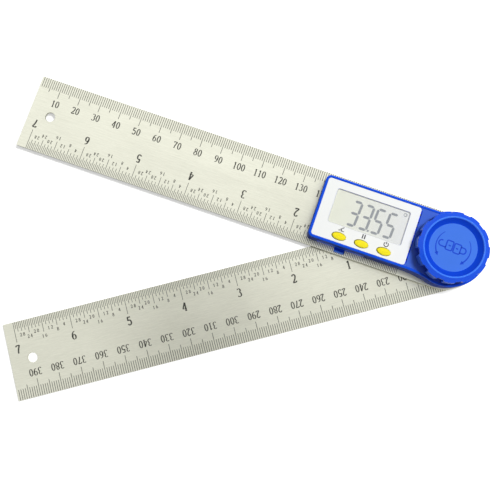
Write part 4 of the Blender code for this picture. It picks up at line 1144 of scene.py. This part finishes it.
above = [(x, y + SIGN_RISE) for x, y in key_centres]
signs = [
    stroke(line((0.55, 0.5), (-0.6, -0.45), (0.7, -0.45)), above[0]),
    stroke(bow(-0.6, -0.45, 0.75, 0.75, 0, 38, 8), above[0]),
    stroke(line((-0.25, 0.5), (-0.25, -0.5)), above[1], HOLD_STROKE),
    stroke(line((0.25, 0.5), (0.25, -0.5)), above[1], HOLD_STROKE),
    stroke(bow(0, -0.05, 0.48, 0.48, 128, 412, 26), above[2]),
    stroke(line((0, 0.58), (0, 0.02)), above[2]),
]
settle(make_object("label_signs", signs, [print_black]), "upper_arm", "label_white")

# %% Seven-bar figures on the display
DIGIT_HEIGHT = 12.0 * MM
DIGIT_WIDTH = 4.6 * MM
DIGIT_PITCH = 5.5 * MM
DIGIT_BAR = 1.12 * MM
DIGIT_LEAN = 0.06
BAR_GAP = 0.12 * MM
BAR_TIP = 0.02
READING = "3355"
FIRST_DIGIT = (-46.72 * MM, -4.6 * MM)
POINT_WIDTH = 0.8 * MM
POINT_HEIGHT = 0.9
POINT_RISE = 0.6 * MM
POINT_GAP = 0.42 * MM
DEGREE_PLACE = (-22.63 * MM, 8.18 * MM)
DEGREE_SIZE = 1.35 * MM
DEGREE_STROKE = 0.32 * MM
LIT = {"3": "abcdg", "5": "acdfg"}
ink_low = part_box("lcd_glass")[1].z
ink_high = ink_low + INK


def bar(start, end):
    """A display bar between two nodes of a figure: its ends taper to points."""
    start, end = np.array(start), np.array(end)
    along = (end - start) / np.linalg.norm(end - start)
    full = BAR_GAP + DIGIT_BAR / 2
    offsets = np.array((BAR_GAP, full, -full, -BAR_GAP))
    path = np.array((start, start, end, end)) + offsets[:, None] * along
    path[:, 0] += DIGIT_LEAN * (path[:, 1] - FIRST_DIGIT[1])
    return ribbon(path, np.array((BAR_TIP, 1, 1, BAR_TIP)) * DIGIT_BAR, ink_low, ink_high)


def digit(figure, corner):
    """The lit bars of one figure, from its lower left corner."""
    half = DIGIT_BAR / 2
    left, right = corner[0] + half, corner[0] + DIGIT_WIDTH - half
    bottom, top = corner[1] + half, corner[1] + DIGIT_HEIGHT - half
    middle = (bottom + top) / 2
    ends = {
        "a": ((left, top), (right, top)), "b": ((right, middle), (right, top)),
        "c": ((right, bottom), (right, middle)), "d": ((left, bottom), (right, bottom)),
        "e": ((left, bottom), (left, middle)), "f": ((left, middle), (left, top)),
        "g": ((left, middle), (right, middle)),
    }
    return [bar(*ends[name]) for name in LIT[figure]]


print("bars lit for each figure:", {figure: len(LIT[figure]) for figure in LIT})

# %% The reading with its point and degree ring
reading = []
for index, figure in enumerate(READING):
    reading += digit(figure, (FIRST_DIGIT[0] + index * DIGIT_PITCH, FIRST_DIGIT[1]))
point = (FIRST_DIGIT[0] + DIGIT_PITCH + DIGIT_WIDTH + POINT_GAP, FIRST_DIGIT[1] + POINT_RISE)
half_point = POINT_HEIGHT / 2
reading.append(stroke(line((0, -half_point), (0, half_point)), point, POINT_WIDTH, MM,
                      ink_low, ink_high))
reading.append(stroke(bow(0, 0, 0.5, 0.5, 0, 360, 28), DEGREE_PLACE, DEGREE_STROKE,
                      DEGREE_SIZE, ink_low, ink_high))
settle(make_object("display_reading", reading, [display_ink]), "upper_arm", "display_glass")

# %% [markdown]
# ## The keys
# Each key is an oval button of soft plastic with a low crown, held in by a flange. An
# ellipse that shrinks and rises along a quarter circle gives the rounded shoulder, and
# two more rings give the crown. A scaled sphere would have no flat for the finger.

# %% Oval keys
KEY_SHOULDER = 0.5 * MM
KEY_FLANGE = 0.65 * MM
KEY_FLANGE_HEIGHT = 0.3 * MM
KEY_CROWN = 0.1 * MM
CROWN_FOOT = 0.30 * KEY_WIDTH
CROWN_FLAT = 0.42 * KEY_WIDTH


def key_shell(node):
    """Rings of (inset, height) from the flange up over the crown."""
    low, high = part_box(node)
    flange_top = low.z + KEY_FLANGE_HEIGHT
    shoulder = high.z - (KEY_SHOULDER + KEY_CROWN)
    rows = [(-KEY_FLANGE, low.z), (-KEY_FLANGE, flange_top), (0, flange_top)]
    rows += [(KEY_SHOULDER * (1 - math.cos(a)), shoulder + KEY_SHOULDER * math.sin(a))
             for a in np.linspace(0, QUARTER, 8)]
    rows += [(CROWN_FOOT, high.z - KEY_CROWN / 2), (CROWN_FLAT, high.z)]
    rings = [raised(key_line(centre_of(node), -inset), height) for inset, height in rows]
    return grid(np.array(rings), capped=True)


for node in key_nodes:
    settle(make_object(node + "_cap", [key_shell(node)], [key_yellow]), node, "key_yellow", node)

# %% [markdown]
# ## The lock knob
# The knob is a cup with a dished top. Twelve lugs stand on its side under a thin cap,
# and between them the wall steps back to the core. Two profiles, one through a lug and
# one through a gap, are blended round the axis by a mask of angle: that keeps the cap's
# overhang sharp and rounds the lugs' upright edges.

# %% Profiles of the knob
knob_low, knob_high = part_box("lock_knob")
KNOB_R = max(knob_high.x, knob_high.y, -knob_low.x, -knob_low.y)
CAP_R = KNOB_R - 0.5 * MM
CORE_R = KNOB_R - 2.4 * MM
LIP_R = CAP_R - 1.95 * MM
DISH_R = LIP_R - 2.6 * MM
FOOT_Z = knob_low.z
TOP_Z = knob_high.z
LUG_Z = FOOT_Z + 0.5 * MM
SHOULDER_Z = TOP_Z - 0.8 * MM
CAP_Z = SHOULDER_Z - 0.8 * MM
DISH_Z = TOP_Z - 1.85 * MM
CEILING_Z = DISH_Z - 1.2 * MM
INNER_R = CORE_R - 1.3 * MM
CAP_SLOPE = (TOP_Z - SHOULDER_Z) / (KNOB_R - LIP_R - 0.3 * MM)
EDGE_DROP = 0.25 * MM
EDGE_INSET = 0.3 * MM
EDGE_RISE = 0.39 * MM


def knob_rows(lug):
    """(radius, height) rows from under the ceiling, round the outside, to the dish centre.

    The edge of the cap is a parabola: t^2 inwards while t(2 - t) upwards.
    """
    side, under = (KNOB_R, LUG_Z) if lug else (CAP_R, CAP_Z)
    edge = SHOULDER_Z + (KNOB_R - side) * CAP_SLOPE - EDGE_DROP
    rows = [(0, CEILING_Z), (INNER_R, CEILING_Z), (INNER_R, FOOT_Z)]
    rows += near(CORE_R, FOOT_Z, (-0.15, 0), (0, 0.15))
    rows += near(CORE_R, LUG_Z, (0, -0.02), (0.1 if lug else 0.2, 0))
    rows += near(KNOB_R, LUG_Z, (-0.2, 0)) if lug else near(CORE_R, CAP_Z, (0.2, 0))
    rows += near(side, under, (-0.1, 0), (0, 0.15))
    rows += [(side - EDGE_INSET * t * t, edge + EDGE_RISE * t * (2 - t))
             for t in np.linspace(0, 1, 5)]
    rows += near(LIP_R, TOP_Z, (0.55, -0.12), (0.3, -0.02), (0, 0), (-0.2, -0.04),
                 (-0.34, -0.18), (-0.42, -0.34))
    rows += near(DISH_R, DISH_Z, (0.35, 0.22), (0.12, 0.05), (0, 0), (-0.1, 0))
    return np.array(rows + [(0, DISH_Z)])


print("knob profile:", len(knob_rows(True)), "rows, radius", round(KNOB_R / MM, 2), "mm")

# %% Lugs round the knob
LUGS = 12
LUG_HALF = math.radians(18.5) / 2
FIRST_LUG = math.radians(10)
LUG_ROUND = math.radians(1.3)
KNOB_STEPS = 504
LUG_FACE_ROW = 9  # the step of the profile that is a lug's outer face
GLOSS, DISH_FLOOR, DISH_SIDE, LIP, LUG = range(5)


def lug_mask(angle):
    """1 on a lug, 0 in a gap, with a smooth step 3m^2 - 2m^3 over the rounded edges."""
    pitch = TURN / LUGS
    away = np.abs((angle - FIRST_LUG + pitch / 2) % pitch - pitch / 2)
    m = np.clip((LUG_HALF + LUG_ROUND / 2 - away) / LUG_ROUND, 0, 1)
    return m * m * (3 - 2 * m)


def knob_shell():
    """Blend of the two profiles at every angle, by the mask.

    Going along the profile, the side is glossy with lug faces that carry a painted reflection,
    four steps make the lip with its painted highlight, and the dish follows with its side
    in painted shade and, in the last two steps, its floor with a painted sheen.
    """
    angle = np.linspace(0, TURN, KNOB_STEPS, endpoint=False)
    m = lug_mask(angle)
    lug, gap = knob_rows(True), knob_rows(False)
    profile = gap[:, None, :] * (1 - m)[None, :, None] + lug[:, None, :] * m[None, :, None]
    radius, height = profile[..., 0], profile[..., 1]
    points = np.stack((radius * np.cos(angle), radius * np.sin(angle), height), axis=-1)
    points, faces, flags = grid(points)[:3]
    lip_row = int(np.argmax(lug[:, 1]))
    row_finish = [GLOSS] * (lip_row - 1) + [LIP] * 4
    row_finish += [DISH_SIDE] * (len(lug) - 3 - len(row_finish)) + [DISH_FLOOR] * 2
    slots = np.repeat(row_finish, KNOB_STEPS)
    on_lug = np.flatnonzero(lug_mask(angle + TURN / (2 * KNOB_STEPS)) > 0.5)
    # The lugs' outer faces take the paler blue of a painted reflection.
    slots[LUG_FACE_ROW * KNOB_STEPS + on_lug] = LUG
    return points, faces, flags, slots.tolist()


lug_share = float(lug_mask(np.linspace(0, TURN, KNOB_STEPS, endpoint=False)).mean())
print("lugs take", round(100 * lug_share), "percent of the knob's side")

# %% Boss and ribs under the knob's top
BOSS_R = 5.2 * MM
BOSS_BORE = 3.95 * MM
RIBS = 6
RIB_WIDTH = 0.9 * MM
RIB_LAP = 0.6 * MM
RIB_CORNER = 0.1 * MM
ROOT = 0.4 * MM
rib_line = rounded_box(((BOSS_R + INNER_R) / 2, 0), INNER_R - BOSS_R + RIB_LAP, RIB_WIDTH,
                       RIB_CORNER, 2)
rib = prism(rib_line, FOOT_Z + ROOT, CEILING_Z + ROOT)
inner_parts = [tube((0, 0), BOSS_R, BOSS_BORE, FOOT_Z + 0.2 * MM, CEILING_Z + ROOT, 64)]
inner_parts += [turned_about(rib, (index + 0.5) * TURN / RIBS) for index in range(RIBS)]
knob = make_object("knob_moulding", [knob_shell(), *inner_parts],
                   [knob_gloss, dish_satin_painted_sheen, dish_side_painted_shade, lip_painted_highlight, lug_painted_reflection])
settle(knob, "knob", "knob_blue", "lock_knob")

# %% [markdown]
# ## Signs in the dish
# Two curved arrows say which way the knob turns, and an open and a closed padlock say
# what for. They are ribbons like the numerals, not cuts in the dish: their deeper blue
# is the painted shade of a cut line.

# %% Arrows and padlocks in the dish
ARROW_R = 7.55 * MM
ARROW_STEPS = 30
SYMBOL = 5.6 * MM
SYMBOL_ANGLE = math.radians(88)
SYMBOL_CENTRES = ((-3.0 * MM, 0.35 * MM), (3.0 * MM, -0.1 * MM))
dish_ink = DISH_Z, DISH_Z + INK


def arrow(start, end):
    """A tapered arc with a head, in angle degrees: the ribbon widens towards its head."""
    path = bow(0, 0, ARROW_R, ARROW_R, start, end, ARROW_STEPS)
    widths = np.linspace(0.25, 0.6, ARROW_STEPS + 1) * MM
    tip, along = path[-1], directions(path)[-1]
    head = np.array((tip - along * 0.1 * MM, tip + along * 1.5 * MM))
    return [ribbon(path, widths, *dish_ink), ribbon(head, (1.7 * MM, 0.05 * MM), *dish_ink)]


def padlock(centre, angle, opened):
    """A padlock in outline; the shackle of the open one stands up and aside."""
    body = rounded_box((0, -0.22), 0.74, 0.52, 0.10, 4)
    body = np.concatenate((body, body[:1]))
    lift = 0.16 if opened else 0.0
    shackle = np.concatenate((
        line((-0.23, 0.04)), bow(0, 0.26 + lift, 0.23, 0.22, 180, 0, 14),
        line((0.23, 0.20 + lift if opened else 0.04))))
    keyhole = line((0, -0.14), (0, -0.32))
    cos, sin = math.cos(angle), math.sin(angle)
    spin = np.array(((cos, sin), (-sin, cos)))
    return [stroke(path @ spin, centre, width * MM, SYMBOL, *dish_ink)
            for path, width in ((body, 0.55), (shackle, 0.55), (keyhole, 0.6))]


symbols = arrow(133.9, 213.3) + arrow(39.6, -41.1)
symbols += padlock(SYMBOL_CENTRES[0], SYMBOL_ANGLE, True)
symbols += padlock(SYMBOL_CENTRES[1], SYMBOL_ANGLE - math.pi, False)
# The symbols' deeper blue is painted shade, not a cut.
settle(make_object("knob_symbols", symbols, [engraving_painted_shade]), "knob", "knob_blue")

# %% [markdown]
# ## Washers and screws
# The small turned pieces are profiles swept finely enough that no flat shows. A screw's
# head gets the cross that a driver needs, and its shank a run of small steps in place
# of the thread, which stays out of sight.

# %% Washers
WASHER_EDGE = 0.08 * MM


def ring_piece(name, node, body, slot, finish, bore):
    """A flat washer with softened rims."""
    low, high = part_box(node)
    outer = (high.x - low.x) / 2
    rows = [(bore, low.z), (outer - WASHER_EDGE, low.z), (outer, low.z + WASHER_EDGE),
            (outer, high.z - WASHER_EDGE), (outer - WASHER_EDGE, high.z), (bore, high.z)]
    settle(make_object(name, [turned(rows, 160, (0, 0), True)], [finish]), body, slot, node)


ring_piece("pressure_ring", "pressure_washer", "knob_lifter", "spring_steel", spring_steel, 7 * MM)
ring_piece("spacer_ring", "spacer_washer", "lower_arm", "nylon_white", nylon, 8.85 * MM)

# %% Cross-head screws
HEAD_EDGE = 0.06 * MM
THREAD_STEPS = 25
THREAD_DEPTH = 0.06 * MM
SLOT_LENGTH = 1.7 * MM
SLOT_WIDTH = 0.36 * MM


def screw_shell(node):
    """Countersunk screw: head flush below, shank above, whose radius steps in and out."""
    low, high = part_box(node)
    neck = low.z + SCREW_HEAD_HEIGHT
    shares = np.linspace(0.1, 0.85, THREAD_STEPS)
    cuts = THREAD_DEPTH * (np.arange(THREAD_STEPS) % 2)
    rows = [(0, low.z), (SCREW_HEAD - HEAD_EDGE, low.z), (SCREW_HEAD, low.z + HEAD_EDGE),
            (SCREW_SHANK, neck)]
    rows += [(SCREW_SHANK - cut, neck + (high.z - low.z - SCREW_HEAD_HEIGHT) * share)
             for share, cut in zip(shares, cuts)]
    rows += [(SCREW_SHANK * 0.5, high.z), (0, high.z)]
    return turned(rows, 40, centre_of(node))


def slot_cutters(node):
    """Two slots at right angles that narrow as they go in."""
    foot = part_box(node)[0].z
    centre = np.array(centre_of(node))
    rings = []
    for share, depth in ((1.0, -0.2 * MM), (0.95, 0.0), (0.5, 0.42 * MM)):
        box = rounded_box((0, 0), SLOT_LENGTH * share, SLOT_WIDTH * share, 0.05 * MM * share, 2)
        rings.append(raised(box + centre, foot + depth))
    shell = grid(np.array(rings), capped=True)
    return [turned_about(shell, angle, (*centre, 0)) for angle in (0, QUARTER)]


for node in housing_screws + hub_screws:
    finish = ringed(node + "_steel", (0.50, 0.50, 0.50), 0.28, centre_of(node))
    screw = make_object(node + "_cross", [screw_shell(node)], [finish])
    carve(screw, *slot_cutters(node))
    settle(screw, "upper_arm" if node in housing_screws else "lower_arm", "screw_steel", node)

# %% [markdown]
# ## Battery tray and cell
# The tray is a plate with a round pocket and a hole to push the cell out. Its finger tab
# is a thin web with a raised outer lip, a piece of its own whose lighter blue is a
# painted highlight. The cell has its stepped can and a plus sign.

# %% Battery tray
cell_low, cell_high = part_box("coin_cell")
cell_centre = centre_of("coin_cell")
CELL_R = (cell_high.x - cell_low.x) / 2
CELL_GAP = 0.2 * MM
PUSH_HOLE = 3.5 * MM
TRAY_FLOOR = 0.5 * MM
TRAY_CORNER = 0.35 * MM
TRAY_EDGE = 0.08 * MM
TAB_LENGTH = 4.8 * MM
TAB_HEIGHT = 1.3 * MM
TAB_WEB = 0.6 * MM
LIP_WIDTH = 1.0 * MM
LIP_ROUND = 0.42 * MM
tray_front = -HALF_HOUSING
tray_foot = tray_low.z
tray_line = box_line((tray_x, (tray_front + tray_high.y) / 2), tray_length,
                     tray_high.y - tray_front, TRAY_CORNER, 5)
web_depth = tray_front - tray_low.y + 0.3 * MM
web_line = rounded_box((tray_x, tray_low.y + web_depth / 2), TAB_LENGTH - 0.1 * MM,
                       web_depth - 0.1 * MM, 0.2 * MM, 5)
# The lip's ends are almost half circles: a hair of straight edge keeps their arcs apart.
lip_line = box_line((tray_x, tray_low.y + LIP_WIDTH / 2), TAB_LENGTH, LIP_WIDTH,
                    LIP_WIDTH / 2 - 0.01 * MM, 5)
tray = make_object("tray_moulding", [plate(tray_line, tray_foot, tray_high.z, TRAY_EDGE, TRAY_EDGE)],
                   [housing_gloss])
carve(tray, rod(cell_centre, CELL_R + CELL_GAP, tray_foot + TRAY_FLOOR, tray_high.z + OVER, 128))
carve(tray, rod(cell_centre, PUSH_HOLE, tray_foot - OVER, tray_foot + OVER))
carve(tray, prism(web_line, tray_foot, tray_foot + TAB_WEB), operation="UNION")
lip_shell = plate(lip_line, tray_foot, tray_foot + TAB_HEIGHT, 0.06 * MM, LIP_ROUND)
# The tray's lip takes the lighter blue of a painted highlight.
settle(make_object("tray_lip", [lip_shell], [lip_painted_highlight]), "tray", "housing_blue")
settle(tray, "tray", "housing_blue", "battery_tray")

# %% Coin cell
cell_rows = [(0, cell_low.z)]
cell_rows += near(CELL_R, cell_low.z, (-0.3, 0), (-0.08, 0.1), (0, 0.3))
cell_rows += near(CELL_R, cell_high.z, (0, -0.55), (-0.1, -0.36), (-0.3, -0.3), (-0.8, -0.3),
                  (-0.9, -0.22), (-1.0, -0.05), (-1.15, 0))
cell_rows.append((0, cell_high.z))
cell_nickel = ringed("cell_can", (0.68, 0.67, 0.64), 0.20, cell_centre, 0.12 * MM)
cell = make_object("coin_cell_can", [turned(cell_rows, 128, cell_centre)], [cell_nickel])
settle(cell, "tray", "cell_nickel", "coin_cell")
PLUS_SIZE = 1.6 * MM
PLUS_STROKE = 0.5 * MM
plus = [stroke(path, cell_centre, PLUS_STROKE, PLUS_SIZE, cell_high.z, cell_high.z + INK)
        for path in (line((-1, 0), (1, 0)), line((0, -1), (0, 1)))]
settle(make_object("coin_cell_plus", plus, [print_black]), "tray", "cell_nickel")

# %% [markdown]
# ## Floor and light
# The tool lies on a plain white sheet. A small lamp high on the upper right draws the
# soft shadows and isn't mirrored in the steel. A long weak one behind gives the steel
# its bright run, and a pale world fills the rest. Polished steel shows its
# surroundings, so the world is brighter to mirrors than to matt surfaces.

# %% Floor
FLOOR_HALF = 2.5
FLOOR_GLOW = 0.48
PAPER = (0.93, 0.93, 0.93)
floor_mesh = bpy.data.meshes.new("floor")
floor_plan = FLOOR_HALF * np.array(((-1, -1), (1, -1), (1, 1), (-1, 1)))
floor_points = raised(floor_plan, cad_low.z - 0.02 * MM)
floor_mesh.from_pydata(floor_points.tolist(), [], [(0, 1, 2, 3)])
add_object("floor", floor_mesh)
floor_finish = Finish("floor_white", PAPER, 0.9, Specular_IOR_Level=0.0)
fibre = floor_finish.noise(floor_finish.place(), 60 * MM)
floor_finish.set("Base Color", floor_finish.tinted(fibre, PAPER, 0.005))
glow = floor_finish.node("ShaderNodeLightPath", output="Is Camera Ray") * FLOOR_GLOW
floor_finish.set("Emission Color", floor_finish.blend(glow, (0, 0, 0), (1, 1, 1)))
floor_finish.set("Emission Strength", 1.0)
floor_mesh.materials.append(floor_finish.material)
print("floor", 2 * FLOOR_HALF, "m wide")

# %% World
DIFFUSE_WORLD = 0.18
SEEN_WORLD = 0.92
world = bpy.data.worlds.new("studio")
bpy.context.scene.world = world
world.use_nodes = True
sky = Nodes(world.node_tree, "Background")
sky.set("Color", (1.0, 1.0, 1.0, 1.0))
seen = sky.node("ShaderNodeLightPath", output="Is Camera Ray")
for ray in ("Is Glossy Ray", "Is Transmission Ray"):
    seen = seen.maths("MAXIMUM", seen, sky.node("ShaderNodeLightPath", output=ray))
sky.set("Strength", DIFFUSE_WORLD + seen * (SEEN_WORLD - DIFFUSE_WORLD))
print("world shines with", DIFFUSE_WORLD, "on matt surfaces and", SEEN_WORLD, "in mirrors")

# %% Lamps
AIM = (-0.08, -0.03, 0.0)


def lamp(name, place, length, depth, power, mirrored=True):
    """A soft box that looks at the tool; it can be left out of the mirror images."""
    light = bpy.data.lights.new(name, "AREA")
    light.shape = "RECTANGLE"
    light.size = length
    light.size_y = depth
    light.energy = power
    holder = add_object(name, light)
    holder.location = place
    away = Vector(place) - Vector(AIM)
    holder.rotation_mode = "QUATERNION"
    holder.rotation_quaternion = away.to_track_quat("Z", "Y")
    holder.visible_glossy = mirrored
    print(f"{name} lamp: {length} x {depth} m, {power} W, mirrored {mirrored}")


lamp("key", (0.20, 0.27, 0.90), 0.25, 0.25, 7.4, mirrored=False)
lamp("back", (-0.16, 0.36, 0.95), 1.60, 0.50, 1.0)

# %% [markdown]
# ## Camera
# The camera stands where the photograph was taken: almost overhead, tilted a little and
# turned about the vertical, at a distance that gives the same perspective. Its dark
# body is mirrored in the steel, so a disc beside the lens stands for it, seen by
# mirrors alone.

# %% Camera
AZIMUTH = math.radians(20.281)
TILT = math.radians(6.856)
ROLL = math.radians(-1.141)
DISTANCE = 300 * MM
TARGET = np.array((-82.744 * MM, -27.869 * MM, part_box("lower_rule")[1].z))
SENSOR = 36.0
FOCAL_PIXELS = 662.03
IMAGE_PIXELS = 500
back = np.array((math.sin(TILT) * math.sin(AZIMUTH), -math.sin(TILT) * math.cos(AZIMUTH),
                 math.cos(TILT)))
right = np.cross((0, 0, 1), back)
right /= np.linalg.norm(right)
up = np.cross(back, right)
rolled_right = math.cos(ROLL) * right + math.sin(ROLL) * up
rolled_up = math.cos(ROLL) * up - math.sin(ROLL) * right
position = TARGET + back * DISTANCE
columns = np.column_stack((rolled_right, rolled_up, back, position))
camera_data = bpy.data.cameras.new("camera")
camera_data.sensor_width = SENSOR
camera_data.lens = FOCAL_PIXELS * SENSOR / IMAGE_PIXELS
camera_data.clip_start = 10 * MM
camera_data.clip_end = 20.0
camera = add_object("camera", camera_data)
camera.matrix_world = Matrix((*columns.tolist(), (0, 0, 0, 1)))
bpy.context.scene.camera = camera
bpy.context.scene.view_settings.view_transform = "Standard"
print("camera at", [round(v / MM, 1) for v in position], "lens", round(camera_data.lens, 2))

# %% The camera's body, as the steel mirrors it
CARD_RADIUS = 55 * MM
CARD_ABOVE = 15 * MM
CARD_ASIDE = 52 * MM
CARD_SIDES = 48
DARK = (0.02, 0.02, 0.02)
card_centre = position + back * CARD_ABOVE - right * CARD_ASIDE
card_plan = arc((0, 0), CARD_RADIUS, 0, TURN, CARD_SIDES)[:-1]
card_mesh = bpy.data.meshes.new("camera_body")
card_mesh.from_pydata((card_centre + card_plan @ np.array((right, up))).tolist(), [],
                      [tuple(range(CARD_SIDES))])
card_finish = Finish("camera_body", DARK, 0.8)
mottle = card_finish.noise(card_finish.place(), 20 * MM)
card_finish.set("Base Color", card_finish.tinted(mottle, DARK, 0.2))
card_mesh.materials.append(card_finish.material)
card = add_object("camera_body", card_mesh)
card.visible_camera = card.visible_diffuse = card.visible_shadow = False
print("camera body:", round(CARD_ASIDE / MM), "mm beside the lens, seen by mirrors alone")
